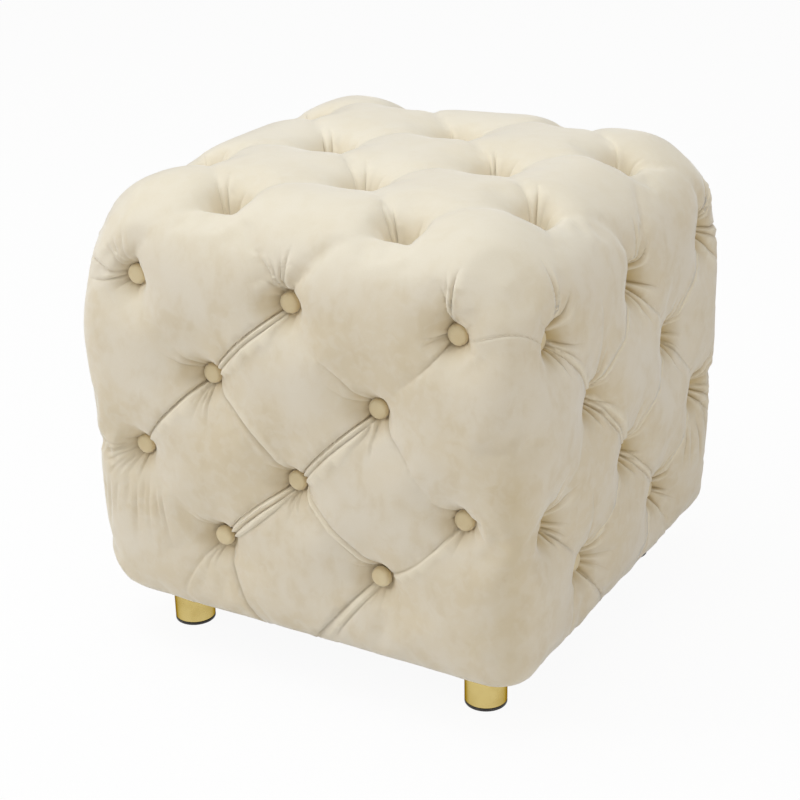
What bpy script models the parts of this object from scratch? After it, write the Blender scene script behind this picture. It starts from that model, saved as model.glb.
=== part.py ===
"""Tufted cube footstool with covered buttons and four short metal legs.

The stool stands on the floor at z = 0 with its centre on the Z axis and its front towards -Y.
A side is modelled as the front one, facing -Y, and turned about Z to its place.
"""

import math

import bmesh
import bpy
from mathutils import Matrix, Vector

# Overall sizes, in metres
COVER_HALF_WIDTH = 0.2125
COVER_TOP = 0.4155
COVER_BOTTOM = 0.040
COVER_EDGE_RADIUS = 0.060
BOTTOM_EDGE_RADIUS = 0.008
BOTTOM_TUCK = 0.008

# Layers from the crown of the tufting inwards
SIDE_PAD_CROWN = 0.0299
TOP_PAD_CROWN = 0.0421
DIMPLE_FLOOR = 0.0034
FOAM_THICKNESS = 0.013
PANEL_THICKNESS = 0.009
TOP_BOARD_THICKNESS = 0.012
BASE_BOARD_THICKNESS = 0.012
BASE_BOARD_RECESS = 0.004
CLEARANCE = 0.0003
MITRE_SHIFT = 0.000225

# Button lattice: rows of three and two in turn on the sides, of two and three on the top
BUTTON_MARGIN = 0.0625
TOP_ROW_DEPTH = 0.0795
LOW_ROW_HEIGHT = 0.078
SIDE_ROWS = 4
ROW_RISE = (0.0, 0.0, -0.005, 0.0)
ROW_SPREAD = (-0.0024, 0.0015, 0.0, 0.0)
TOP_SPREAD = 0.003
LEFT_RIGHT_DROP = 0.012
PLEAT_FULLNESS = 0.7
CORNER_SEAM_PUFF = 0.50
CORNER_PINCH_PUFF = 0.72
CORNER_PUFF = 0.84
LINES_PER_CELL = 3
LINES_AT_EDGE = 2
LINES_AT_BOTTOM = 2
ROLL_LINE = 0.3

# Covered buttons on twine
BUTTON_RADIUS = 0.0087
BUTTON_HEIGHT = 0.0058
BUTTON_SHOULDER_RADIUS = 0.0064
BUTTON_SHOULDER_HEIGHT = 0.0042
BUTTON_SIDES = 8
TWINE_RADIUS = 0.0010
TWINE_SIDES = 6
TWINE_TAIL = 0.002
# Turn of a hole's facets, in radians, which keeps them off the lines of the pad's grid
FACET_TURN = 0.2

# Legs, glides and their fastenings
LEG_RADIUS = 0.0176
LEG_WALL = 0.0015
LEG_PLATE = 0.003
LEG_CHAMFER = 0.0006
LEG_INSET = 0.0238
LEG_SIDES = 16
GLIDE_HEIGHT = 0.0026
GLIDE_STEM = 0.012
GLIDE_CHAMFER = 0.0008
BOLT_RADIUS = 0.004
BOLT_HEAD_RADIUS = 0.0075
BOLT_HEAD = 0.005
BOLT_REACH = 0.008
BOLT_CHAMFER = 0.0008
NUT_RADIUS = 0.0052
NUT_FLANGE_RADIUS = 0.010
NUT_FLANGE = 0.0015
NUT_BARREL = 0.010
FASTENER_SIDES = 8

# Corner blocks and dust cover
BLOCK_WIDTH = 0.025
BLOCK_CHAMFER = 0.008
BLOCK_NUT_ROOM = 0.020
BLOCK_TWINE_ROOM = 0.008
DUST_COVER_THICKNESS = 0.001
DUST_COVER_INSET = 0.006

# Mesh settings
SMOOTH_ANGLE = math.radians(40)
MERGE_DISTANCE = 0.00002

# Sizes that follow from those above
PAD_BACK = COVER_HALF_WIDTH - SIDE_PAD_CROWN
PAD_UNDERSIDE = COVER_TOP - TOP_PAD_CROWN
FOAM_FACE = PAD_BACK - CLEARANCE
FOAM_TOP = PAD_UNDERSIDE - CLEARANCE
PANEL_FACE = FOAM_FACE - FOAM_THICKNESS - CLEARANCE
PANEL_BACK = PANEL_FACE - PANEL_THICKNESS
TOP_BOARD_FACE = FOAM_TOP - FOAM_THICKNESS - CLEARANCE
TOP_BOARD_BACK = TOP_BOARD_FACE - TOP_BOARD_THICKNESS
BASE_UNDERSIDE = COVER_BOTTOM + BASE_BOARD_RECESS
BASE_TOP = BASE_UNDERSIDE + BASE_BOARD_THICKNESS
LEG_TOP = BASE_UNDERSIDE - CLEARANCE
LEG_CENTRE = PANEL_FACE - LEG_INSET
HALF_PITCH = (COVER_HALF_WIDTH - BUTTON_MARGIN) / 2
TOP_HALF_PITCH = HALF_PITCH + TOP_SPREAD
TOP_ROW = COVER_TOP - TOP_ROW_DEPTH
LOW_ROW = COVER_BOTTOM + LOW_ROW_HEIGHT
ROW_STEP = (TOP_ROW - LOW_ROW) / (SIDE_ROWS - 1)
SIDE_TUFT_DEPTH = SIDE_PAD_CROWN - DIMPLE_FLOOR
TOP_TUFT_DEPTH = TOP_PAD_CROWN - DIMPLE_FLOOR
EDGE_TUFT_DEPTH = (SIDE_TUFT_DEPTH + TOP_TUFT_DEPTH) / 2
SIDE_SEAT = PAD_BACK + DIMPLE_FLOOR + CLEARANCE
TOP_SEAT = PAD_UNDERSIDE + DIMPLE_FLOOR + CLEARANCE
SIDE_LACING = PANEL_BACK - CLEARANCE - TWINE_RADIUS
TOP_LACING = TOP_BOARD_BACK - CLEARANCE - TWINE_RADIUS

# Lattice coordinates: one unit across is half a pitch, one unit down is one row, row 1 is at 0
LAST_COLUMN = 2.0
MITRE = 0.5
EDGE_COLUMN = LAST_COLUMN + MITRE
LAST_ROW = SIDE_ROWS - 1.0

# Each side's name, its turn about Z in quarter turns and how far its rows lie below the front's
SIDES = (
    ("front", 0, 0.0),
    ("right", 1, LEFT_RIGHT_DROP),
    ("back", 2, 0.0),
    ("left", 3, LEFT_RIGHT_DROP),
)

CORNERS = (
    ("front_left", -1, -1),
    ("front_right", 1, -1),
    ("back_right", 1, 1),
    ("back_left", -1, 1),
)

# Finishes: colour, roughness, metallic
FINISHES = {
    "velvet": ((0.72, 0.64, 0.50), 0.85, 0.0),
    "button_velvet": ((0.60, 0.52, 0.36), 0.85, 0.0),
    "foam": ((0.82, 0.74, 0.52), 0.95, 0.0),
    "plywood": ((0.62, 0.45, 0.27), 0.70, 0.0),
    "softwood": ((0.70, 0.54, 0.34), 0.75, 0.0),
    "dust_cloth": ((0.03, 0.03, 0.03), 0.95, 0.0),
    "gold_metal": ((0.78, 0.62, 0.25), 0.25, 1.0),
    "black_plastic": ((0.02, 0.02, 0.02), 0.50, 0.0),
    "zinc_steel": ((0.60, 0.60, 0.58), 0.40, 1.0),
}


def clear_scene():
    """Remove everything that is in the scene."""
    for item in list(bpy.data.objects):
        bpy.data.objects.remove(item, do_unlink=True)


def new_collection(name):
    """Make a collection in the scene."""
    collection = bpy.data.collections.new(name)
    bpy.context.scene.collection.children.link(collection)
    return collection


def make_finishes():
    """Make one material for each finish."""
    finishes = {}
    for name, (colour, roughness, metallic) in FINISHES.items():
        finish = bpy.data.materials.new(name)
        finish.use_nodes = True
        shader = finish.node_tree.nodes["Principled BSDF"]
        shader.inputs["Base Color"].default_value = (*colour, 1.0)
        shader.inputs["Roughness"].default_value = roughness
        shader.inputs["Metallic"].default_value = metallic
        finish.diffuse_color = (*colour, 1.0)
        finishes[name] = finish
    return finishes


class Bench:
    """Holds the collections and finishes, and puts parts and cutters into them."""

    def __init__(self):
        self.parts = new_collection("tufted_footstool")
        self.cutters = new_collection("footstool_cutters")
        self.finishes = make_finishes()

    def add_part(self, name, mesh, finish, quarter_turns=0):
        """Add a part with its finish, turned about Z to its side."""
        part = bpy.data.objects.new(name, mesh)
        mesh.materials.clear()
        mesh.materials.append(self.finishes[finish])
        part.rotation_euler.z = quarter_turns * math.pi / 2
        self.parts.objects.link(part)
        return part

    def add_cutter(self, name, mesh, quarter_turns=0):
        """Add a body that only cuts or joins other parts."""
        cutter = bpy.data.objects.new(name, mesh)
        cutter.rotation_euler.z = quarter_turns * math.pi / 2
        cutter.hide_render = True
        cutter.display_type = "WIRE"
        self.cutters.objects.link(cutter)
        return cutter


def boolean(part, other, operation):
    """Cut another body out of a part, or join it to the part."""
    modifier = part.modifiers.new(operation.lower(), "BOOLEAN")
    modifier.operation = operation
    modifier.solver = "EXACT"
    modifier.object = other


def mesh_from(bm, name, smooth=False):
    """Turn a bmesh into a mesh with its faces pointing out."""
    bmesh.ops.recalc_face_normals(bm, faces=bm.faces)
    mesh = bpy.data.meshes.new(name)
    bm.to_mesh(mesh)
    bm.free()
    if smooth:
        mesh.shade_smooth()
        mesh.set_sharp_from_angle(angle=SMOOTH_ANGLE)
    return mesh


def box_mesh(name, low, high):
    """Make a box between two corners."""
    bm = bmesh.new()
    bmesh.ops.create_cube(bm, size=1.0)
    low, high = Vector(low), Vector(high)
    bmesh.ops.scale(bm, vec=high - low, verts=bm.verts)
    bmesh.ops.translate(bm, vec=(low + high) / 2, verts=bm.verts)
    return mesh_from(bm, name)


def add_rod(bm, start, end, radius, sides):
    """Add a straight rod with closed ends to a bmesh."""
    start, end = Vector(start), Vector(end)
    along = end - start
    turn = Vector((0, 0, 1)).rotation_difference(along).to_matrix().to_4x4()
    place = Matrix.Translation((start + end) / 2) @ turn @ Matrix.Rotation(FACET_TURN, 4, "Z")
    bmesh.ops.create_cone(bm, cap_ends=True, segments=sides, radius1=radius, radius2=radius,
                          depth=along.length, matrix=place)


def round_hole(radius, sides):
    """Radius of a faceted hole whose flats clear a round piece of the given radius."""
    return (radius + CLEARANCE) / math.cos(math.pi / sides)


def turned_object(name, profile, sides, closed):
    """Make a turned object from a profile of (radius, height) points, run down its outer side."""
    mesh = bpy.data.meshes.new(name)
    points = [(radius, 0.0, height) for radius, height in profile]
    edges = [(i, i + 1) for i in range(len(points) - 1)]
    if closed:
        edges.append((len(points) - 1, 0))
    mesh.from_pydata(points, edges, [])
    turned = bpy.data.objects.new(name, mesh)
    screw = turned.modifiers.new("turn", "SCREW")
    screw.steps = sides
    screw.render_steps = sides
    screw.use_merge_vertices = True
    screw.merge_threshold = MERGE_DISTANCE
    screw.use_normal_calculate = True
    return turned


def turned_mesh(name, profile, sides, closed=False):
    """Make a turned mesh, ready to be placed more than once."""
    turned = turned_object(name, profile, sides, closed)
    bpy.context.scene.collection.objects.link(turned)
    graph = bpy.context.evaluated_depsgraph_get()
    mesh = bpy.data.meshes.new_from_object(turned.evaluated_get(graph))
    bpy.data.objects.remove(turned, do_unlink=True)
    bm = bmesh.new()
    bm.from_mesh(mesh)
    bpy.data.meshes.remove(mesh)
    bmesh.ops.remove_doubles(bm, verts=bm.verts, dist=MERGE_DISTANCE)
    return mesh_from(bm, name, smooth=True)


def between(value, start, end):
    """Share of the way from start to end, held between 0 and 1."""
    return min(max((value - start) / (end - start), 0.0), 1.0)


def eased(share):
    """Smooth step from 0 to 1."""
    return share * share * (3 - 2 * share)


def mix(first, second, share):
    """Value a share of the way from first to second."""
    return first + (second - first) * share


def row_value(values, row):
    """Value at a row position, read between the values given for each row."""
    low = int(min(max(math.floor(row), 0), len(values) - 2))
    return mix(values[low], values[low + 1], between(row, low, low + 1))


def row_height(row, drop):
    """Height of a row position on a side, between the top mitre and the bottom edge."""
    if row < 0:
        return mix(TOP_ROW - drop, COVER_TOP, -row / MITRE)
    if row > LAST_ROW:
        return mix(LOW_ROW - drop, COVER_BOTTOM, row - LAST_ROW)
    return TOP_ROW - row * ROW_STEP + row_value(ROW_RISE, row) - drop


def row_half_pitch(row):
    """Half the distance between buttons at a row position on a side."""
    own = HALF_PITCH + row_value(ROW_SPREAD, row)
    return mix(own, TOP_HALF_PITCH, between(-row, 0, MITRE))


def columns(row):
    """Columns that carry a button in a row: 3 and 2 in turn."""
    return (-2, 0, 2) if row % 2 == 0 else (-1, 1)


def lattice_puff(column, row):
    """Fullness of the tufting: 0 at a button, 1 in the middle of a diamond."""
    one = abs(math.sin(math.pi * (column + row) / 2)) ** PLEAT_FULLNESS
    other = abs(math.sin(math.pi * (column - row) / 2)) ** PLEAT_FULLNESS
    return (one + other) / 2


def corner_puff(row):
    """Fullness along an upright corner: drawn in at the seam in row 1 and pinched at row 3."""
    seam = max(1 - abs(row) / MITRE, 0)
    pinch = max(1 - abs(row - 2) / MITRE, 0)
    drawn_in = seam * (CORNER_PUFF - CORNER_SEAM_PUFF) + pinch * (CORNER_PUFF - CORNER_PINCH_PUFF)
    return CORNER_PUFF - drawn_in


def side_depth(column, row):
    """How far a side's surface lies below the crown."""
    inner = min(abs(column), LAST_COLUMN)
    puff = lattice_puff(inner, row)
    puff = mix(puff, corner_puff(row), eased(between(abs(column), LAST_COLUMN, EDGE_COLUMN)))
    full = mix(SIDE_TUFT_DEPTH, EDGE_TUFT_DEPTH, between(-row, 0, MITRE))
    to_bottom = eased(between(row, LAST_ROW, LAST_ROW + 1))
    return mix((1 - puff) * full, BOTTOM_TUCK, to_bottom)


def top_depth(column, row):
    """How far the top's surface lies below the crown."""
    column, row = abs(column), abs(row)
    past_column = between(column, LAST_COLUMN, EDGE_COLUMN)
    past_row = between(row, LAST_COLUMN, EDGE_COLUMN)
    further = max(past_column, past_row)
    nearer = min(past_column, past_row)
    if nearer > 0:
        puff = lattice_puff(LAST_COLUMN, LAST_COLUMN + MITRE * further + 1)
    else:
        puff = lattice_puff(column, row + 1)
    puff = mix(puff, corner_puff(-MITRE), eased(nearer))
    return (1 - puff) * mix(TOP_TUFT_DEPTH, EDGE_TUFT_DEPTH, further)


def rounded(across, depth_way, up):
    """Point and outward direction on the rounded cover, from a point on its square outline."""
    flat = COVER_HALF_WIDTH - COVER_EDGE_RADIUS
    core = Vector((min(max(across, -flat), flat),
                   min(max(depth_way, -flat), flat),
                   min(up, COVER_TOP - COVER_EDGE_RADIUS)))
    outward = (Vector((across, depth_way, up)) - core).normalized()
    return core + outward * COVER_EDGE_RADIUS, outward


def bottom_roll(up):
    """How far the cover rolls in towards its bottom edge."""
    share = between(COVER_BOTTOM + BOTTOM_EDGE_RADIUS - up, 0, BOTTOM_EDGE_RADIUS)
    return BOTTOM_EDGE_RADIUS * (1 - math.sqrt(1 - share ** 2))


def side_outline(column, drop):
    """Distance across and drop of a side's lattice, which all sides share at the corners."""
    share = between(abs(column), LAST_COLUMN, EDGE_COLUMN)
    return share, mix(drop, LEFT_RIGHT_DROP / 2, share)


def side_surface(column, row, drop):
    """Point on the tufted surface of a side."""
    share, own_drop = side_outline(column, drop)
    inner = min(abs(column), LAST_COLUMN) * row_half_pitch(row)
    across = math.copysign(mix(inner, COVER_HALF_WIDTH, share), column)
    up = row_height(row, own_drop)
    point, outward = rounded(across, -COVER_HALF_WIDTH, up)
    return point - outward * (side_depth(column, row) + bottom_roll(up))


def top_surface(column, row):
    """Point on the tufted surface of the top."""
    places = []
    for value in (column, row):
        inner = min(abs(value), LAST_COLUMN) * TOP_HALF_PITCH
        share = between(abs(value), LAST_COLUMN, EDGE_COLUMN)
        places.append(math.copysign(mix(inner, COVER_HALF_WIDTH, share), value))
    point, outward = rounded(places[0], places[1], COVER_TOP)
    return point - outward * top_depth(column, row)


def spaced(start, end, steps):
    """Evenly spaced values from start up to, but without, end."""
    return [mix(start, end, i / steps) for i in range(steps)]


def column_lines():
    """Columns of the pad's grid, closer at the corners."""
    middle = int(2 * LAST_COLUMN) * LINES_PER_CELL
    lines = spaced(-EDGE_COLUMN, -LAST_COLUMN, LINES_AT_EDGE)
    lines += spaced(-LAST_COLUMN, LAST_COLUMN, middle)
    lines += spaced(LAST_COLUMN, EDGE_COLUMN, LINES_AT_EDGE)
    return lines + [EDGE_COLUMN]


def row_lines():
    """Rows of a side pad's grid, from its bottom edge to its top mitre."""
    roll = LAST_ROW + 1 - BOTTOM_EDGE_RADIUS / LOW_ROW_HEIGHT
    lines = [LAST_ROW + 1, mix(LAST_ROW + 1, roll, ROLL_LINE)]
    lines += spaced(roll, LAST_ROW, LINES_AT_BOTTOM)
    lines += spaced(LAST_ROW, 0, int(LAST_ROW) * LINES_PER_CELL)
    lines += spaced(0, -MITRE, LINES_AT_EDGE)
    return lines + [-MITRE]


def pad_mesh(name, surface, back, across_lines, along_lines, first_button):
    """Make a pad: a tufted face over a grid, walls from its rim to the back, and a flat back.

    The grid's squares are split along the pleats, which run from button to button; first_button is
    the row position of a button in the middle column.
    """
    wide, long = len(across_lines), len(along_lines)
    bm = bmesh.new()
    bmesh.ops.create_grid(bm, x_segments=wide - 1, y_segments=long - 1, size=1.0)
    bm.verts.ensure_lookup_table()
    places = {}
    for vert in bm.verts:
        i = round((vert.co.x + 1) / 2 * (wide - 1))
        j = round((vert.co.y + 1) / 2 * (long - 1))
        places[vert] = (across_lines[i], along_lines[j])
    for face in list(bm.faces):
        corners = sorted(face.verts, key=lambda vert: places[vert])
        column, row = (sum(places[vert][k] for vert in corners) / 4 for k in (0, 1))
        rising = math.sin(math.pi * column) * math.sin(math.pi * (row - first_button)) > 0
        ends = (corners[0], corners[3]) if rising else (corners[1], corners[2])
        bmesh.utils.face_split(face, *ends)
    rim = [edge for edge in bm.edges if edge.is_boundary]
    walls = bmesh.ops.extrude_edge_only(bm, edges=rim)["geom"]
    behind = {}
    for vert in [item for item in walls if isinstance(item, bmesh.types.BMVert)]:
        linked = [edge.other_vert(vert) for edge in vert.link_edges]
        behind[next(other for other in linked if other in places)] = vert
    for wall in [item for item in walls if isinstance(item, bmesh.types.BMFace)]:
        outer = [vert for vert in wall.verts if vert in behind]
        outer.sort(key=lambda vert: abs(places[vert][0]) + abs(places[vert][1]))
        bmesh.utils.face_split(wall, outer[1], behind[outer[0]])
    for vert, place in places.items():
        vert.co = surface(*place)
    for vert, partner in behind.items():
        partner.co = back(*places[vert])
    open_edges = [edge for edge in bm.edges if edge.is_boundary]
    bmesh.ops.contextual_create(bm, geom=open_edges)
    return mesh_from(bm, name)


def mitre_gap(column):
    """Shift across that leaves half the clearance at an upright mitre."""
    return -math.copysign(MITRE_SHIFT, column) if abs(column) >= EDGE_COLUMN else 0.0


def side_pad_mesh(name, drop):
    """Make the tufted pad of one side."""
    def shift(column, row):
        lower = MITRE_SHIFT if row <= -MITRE else 0.0
        return Vector((mitre_gap(column), 0, -lower))

    def surface(column, row):
        return side_surface(column, row, drop) + shift(column, row)

    def back(column, row):
        share, own_drop = side_outline(column, drop)
        inner = min(abs(column), LAST_COLUMN) * row_half_pitch(row)
        across = math.copysign(mix(inner, PAD_BACK, share), column)
        up = mix(row_height(max(row, 0), own_drop), PAD_UNDERSIDE, between(-row, 0, MITRE))
        return Vector((across, -PAD_BACK, up)) + shift(column, row)

    return pad_mesh(name, surface, back, column_lines(), row_lines(), first_button=0)


def top_pad_mesh(name):
    """Make the tufted pad of the top."""
    lift = Vector((0, 0, MITRE_SHIFT))

    def on_rim(column, row):
        return max(abs(column), abs(row)) >= EDGE_COLUMN

    def surface(column, row):
        return top_surface(column, row) + (lift if on_rim(column, row) else Vector())

    def back(column, row):
        places = []
        for value in (column, row):
            inner = min(abs(value), LAST_COLUMN) * TOP_HALF_PITCH
            share = between(abs(value), LAST_COLUMN, EDGE_COLUMN)
            places.append(math.copysign(mix(inner, PAD_BACK, share), value))
        return Vector((*places, PAD_UNDERSIDE)) + lift

    return pad_mesh(name, surface, back, column_lines(), column_lines(), first_button=1)


def side_buttons(drop):
    """Rows of button places on a side, as lists of (across, height)."""
    rows = []
    for row in range(SIDE_ROWS):
        pitch = row_half_pitch(row)
        rows.append([(column * pitch, row_height(row, drop)) for column in columns(row)])
    return rows


def top_buttons():
    """Rows of button places on the top, as lists of (across, along), from front to back."""
    reach = int(LAST_COLUMN)
    rows = []
    for row in range(-reach, reach + 1):
        rows.append([(column * TOP_HALF_PITCH, row * TOP_HALF_PITCH) for column in columns(row + 1)])
    return rows


def button_mesh(length):
    """Make one covered button about Z: its seat at z = 0, its dome up and its twine down."""
    profile = [(0, BUTTON_HEIGHT), (BUTTON_SHOULDER_RADIUS, BUTTON_SHOULDER_HEIGHT), (BUTTON_RADIUS, 0),
               (TWINE_RADIUS, 0), (TWINE_RADIUS, -length), (0, -length)]
    return turned_mesh("button", profile, BUTTON_SIDES)


def pocket_mesh(height, length):
    """Make the cutter of one button's pocket about Z: room for its head, and for its twine below."""
    head = round_hole(BUTTON_RADIUS, BUTTON_SIDES)
    twine = round_hole(TWINE_RADIUS, BUTTON_SIDES)
    profile = [(0, height), (head, height), (head, -CLEARANCE), (twine, -CLEARANCE),
               (twine, -length), (0, -length)]
    return turned_mesh("pocket", profile, BUTTON_SIDES)


def placed_copies(mesh, places):
    """Make a bmesh that holds a copy of a mesh at each place."""
    bm = bmesh.new()
    for place in places:
        before = len(bm.verts)
        bm.from_mesh(mesh)
        bm.verts.ensure_lookup_table()
        bmesh.ops.transform(bm, matrix=place, verts=bm.verts[before:])
    bpy.data.meshes.remove(mesh)
    return bm


def add_button_row(bench, name, places, twine_length, quarter_turns=0):
    """Add a row of buttons whose twine is laced from one to the next behind the panel."""
    bm = placed_copies(button_mesh(twine_length), places)
    row = bench.add_part(name, mesh_from(bm, name, smooth=True), "button_velvet", quarter_turns)
    first, last = (place @ Vector((0, 0, -twine_length)) for place in (places[0], places[-1]))
    tail = (last - first).normalized() * TWINE_TAIL
    lacing = bmesh.new()
    add_rod(lacing, first - tail, last + tail, TWINE_RADIUS, TWINE_SIDES)
    boolean(row, bench.add_cutter(name + "_lacing", mesh_from(lacing, name), quarter_turns), "UNION")


def upholster(bench, face, rows, pad, crown, twine_length, quarter_turns=0):
    """Add a face's rows of buttons, and its tufted pad with a pocket for each button."""
    for number, places in enumerate(rows, start=1):
        add_button_row(bench, f"buttons_{face}_row_{number}", places, twine_length, quarter_turns)
    pockets = placed_copies(pocket_mesh(crown, twine_length), [place for row in rows for place in row])
    cutter = bench.add_cutter(face + "_pockets", mesh_from(pockets, face + "_pockets"), quarter_turns)
    boolean(bench.add_part(pad.name, pad, "velvet", quarter_turns), cutter, "DIFFERENCE")


def hole_cutter(bench, name, rods, radius, sides, quarter_turns=0):
    """Make a cutter of straight round holes."""
    bm = bmesh.new()
    for start, end in rods:
        add_rod(bm, start, end, round_hole(radius, sides), sides)
    return bench.add_cutter(name, mesh_from(bm, name), quarter_turns)


def top_twine_cutters(bench):
    """Make the cutters of the top's upright twine and of its lacing under the top board."""
    rows = top_buttons()
    reach = TWINE_TAIL + CLEARANCE
    twine = [((across, along, COVER_TOP), (across, along, TOP_LACING))
             for row in rows for across, along in row]
    lacing = [((row[0][0] - reach, row[0][1], TOP_LACING), (row[-1][0] + reach, row[-1][1], TOP_LACING))
              for row in rows]
    return (hole_cutter(bench, "top_twine_holes", twine, TWINE_RADIUS, TWINE_SIDES),
            hole_cutter(bench, "top_lacing_notches", lacing, TWINE_RADIUS, TWINE_SIDES))


def build_side(bench, side, quarter_turns, drop, top_twine):
    """Build one side: panel, foam slab, tufted pad and rows of buttons.

    The panel is notched wherever the top's twine and lacing would run into it.
    """
    rows = side_buttons(drop)
    rods = [((across, -COVER_HALF_WIDTH, up), (across, -SIDE_LACING, up))
            for row in rows for across, up in row]
    holes = hole_cutter(bench, side + "_twine_holes", rods, TWINE_RADIUS, TWINE_SIDES, quarter_turns)
    outer = quarter_turns % 2 == 0
    panel_end = PANEL_FACE if outer else PANEL_BACK - CLEARANCE
    foam_end = FOAM_FACE if outer else PANEL_FACE
    panel = box_mesh(side + "_panel", (-panel_end, -PANEL_FACE, BASE_TOP + CLEARANCE),
                     (panel_end, -PANEL_BACK, TOP_BOARD_BACK - CLEARANCE))
    foam = box_mesh("foam_" + side, (-foam_end, -FOAM_FACE, BASE_UNDERSIDE),
                    (foam_end, -PANEL_FACE - CLEARANCE, TOP_BOARD_FACE))
    for mesh, finish, cutters in ((panel, "plywood", (holes, *top_twine)), (foam, "foam", (holes,))):
        part = bench.add_part(mesh.name, mesh, finish, quarter_turns)
        for cutter in cutters:
            boolean(part, cutter, "DIFFERENCE")
    tip = Matrix.Rotation(math.pi / 2, 4, "X")
    places = [[Matrix.Translation((across, -SIDE_SEAT, up)) @ tip for across, up in row] for row in rows]
    pad = side_pad_mesh("tufted_pad_" + side, drop)
    upholster(bench, side, places, pad, SIDE_PAD_CROWN, SIDE_SEAT - SIDE_LACING, quarter_turns)


def build_top(bench, holes):
    """Build the top: board, foam slab, tufted pad and rows of buttons."""
    board = box_mesh("top_board", (-PANEL_FACE, -PANEL_FACE, TOP_BOARD_BACK),
                     (PANEL_FACE, PANEL_FACE, TOP_BOARD_FACE))
    foam = box_mesh("foam_top", (-FOAM_FACE, -FOAM_FACE, TOP_BOARD_FACE + CLEARANCE),
                    (FOAM_FACE, FOAM_FACE, FOAM_TOP))
    for mesh, finish in ((board, "plywood"), (foam, "foam")):
        boolean(bench.add_part(mesh.name, mesh, finish), holes, "DIFFERENCE")
    places = [[Matrix.Translation((across, along, TOP_SEAT)) for across, along in row]
              for row in top_buttons()]
    upholster(bench, "top", places, top_pad_mesh("tufted_pad_top"), TOP_PAD_CROWN, TOP_SEAT - TOP_LACING)


def build_base(bench):
    """Build the base board with its nut holes and the dust cover with its leg holes."""
    centres = [(x * LEG_CENTRE, y * LEG_CENTRE) for _, x, y in CORNERS]
    rods = [((x, y, 0), (x, y, BASE_TOP + NUT_FLANGE)) for x, y in centres]
    board = box_mesh("base_board", (-PANEL_FACE, -PANEL_FACE, BASE_UNDERSIDE),
                     (PANEL_FACE, PANEL_FACE, BASE_TOP))
    nut_holes = hole_cutter(bench, "nut_holes", rods, NUT_RADIUS, FASTENER_SIDES)
    boolean(bench.add_part("base_board", board, "plywood"), nut_holes, "DIFFERENCE")
    edge = PAD_BACK - DUST_COVER_INSET
    upper = BASE_UNDERSIDE - CLEARANCE
    cloth = box_mesh("dust_cover", (-edge, -edge, upper - DUST_COVER_THICKNESS), (edge, edge, upper))
    leg_holes = hole_cutter(bench, "leg_holes", rods, LEG_RADIUS, LEG_SIDES)
    boolean(bench.add_part("dust_cover", cloth, "dust_cloth"), leg_holes, "DIFFERENCE")


def leg_profile():
    """Outline of a leg: a tube with a plate at its top, which has a hole for the bolt."""
    inside = LEG_RADIUS - LEG_WALL
    hole = round_hole(BOLT_RADIUS, FASTENER_SIDES)
    foot = GLIDE_HEIGHT + CLEARANCE
    return [(LEG_RADIUS - LEG_CHAMFER, LEG_TOP), (LEG_RADIUS, LEG_TOP - LEG_CHAMFER),
            (LEG_RADIUS, foot), (inside, foot), (inside, LEG_TOP - LEG_PLATE),
            (hole, LEG_TOP - LEG_PLATE), (hole, LEG_TOP)]


def glide_profile():
    """Outline of a glide: a disc under the leg and a stem that plugs its tube."""
    stem = (LEG_RADIUS - LEG_WALL) * math.cos(math.pi / LEG_SIDES) - CLEARANCE
    stem_top = GLIDE_HEIGHT + GLIDE_STEM
    return [(0, stem_top), (stem - GLIDE_CHAMFER, stem_top), (stem, stem_top - GLIDE_CHAMFER),
            (stem, GLIDE_HEIGHT), (LEG_RADIUS, GLIDE_HEIGHT), (LEG_RADIUS, GLIDE_CHAMFER),
            (LEG_RADIUS - GLIDE_CHAMFER, 0), (0, 0)]


def bolt_profile():
    """Outline of a leg bolt: its head lies under the leg's plate and its shank goes up into the nut."""
    seat = LEG_TOP - LEG_PLATE - CLEARANCE
    tip = BASE_TOP + BOLT_REACH
    return [(0, tip), (BOLT_RADIUS - BOLT_CHAMFER, tip), (BOLT_RADIUS, tip - BOLT_CHAMFER),
            (BOLT_RADIUS, seat), (BOLT_HEAD_RADIUS, seat), (BOLT_HEAD_RADIUS, seat - BOLT_HEAD),
            (0, seat - BOLT_HEAD)]


def nut_profile():
    """Outline of a leg nut: a flange on the base board and a barrel in its hole."""
    bore = round_hole(BOLT_RADIUS, FASTENER_SIDES)
    under = BASE_TOP + CLEARANCE
    return [(NUT_FLANGE_RADIUS, under + NUT_FLANGE), (NUT_FLANGE_RADIUS, under), (NUT_RADIUS, under),
            (NUT_RADIUS, under - NUT_BARREL), (bore, under - NUT_BARREL), (bore, under + NUT_FLANGE)]


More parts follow.
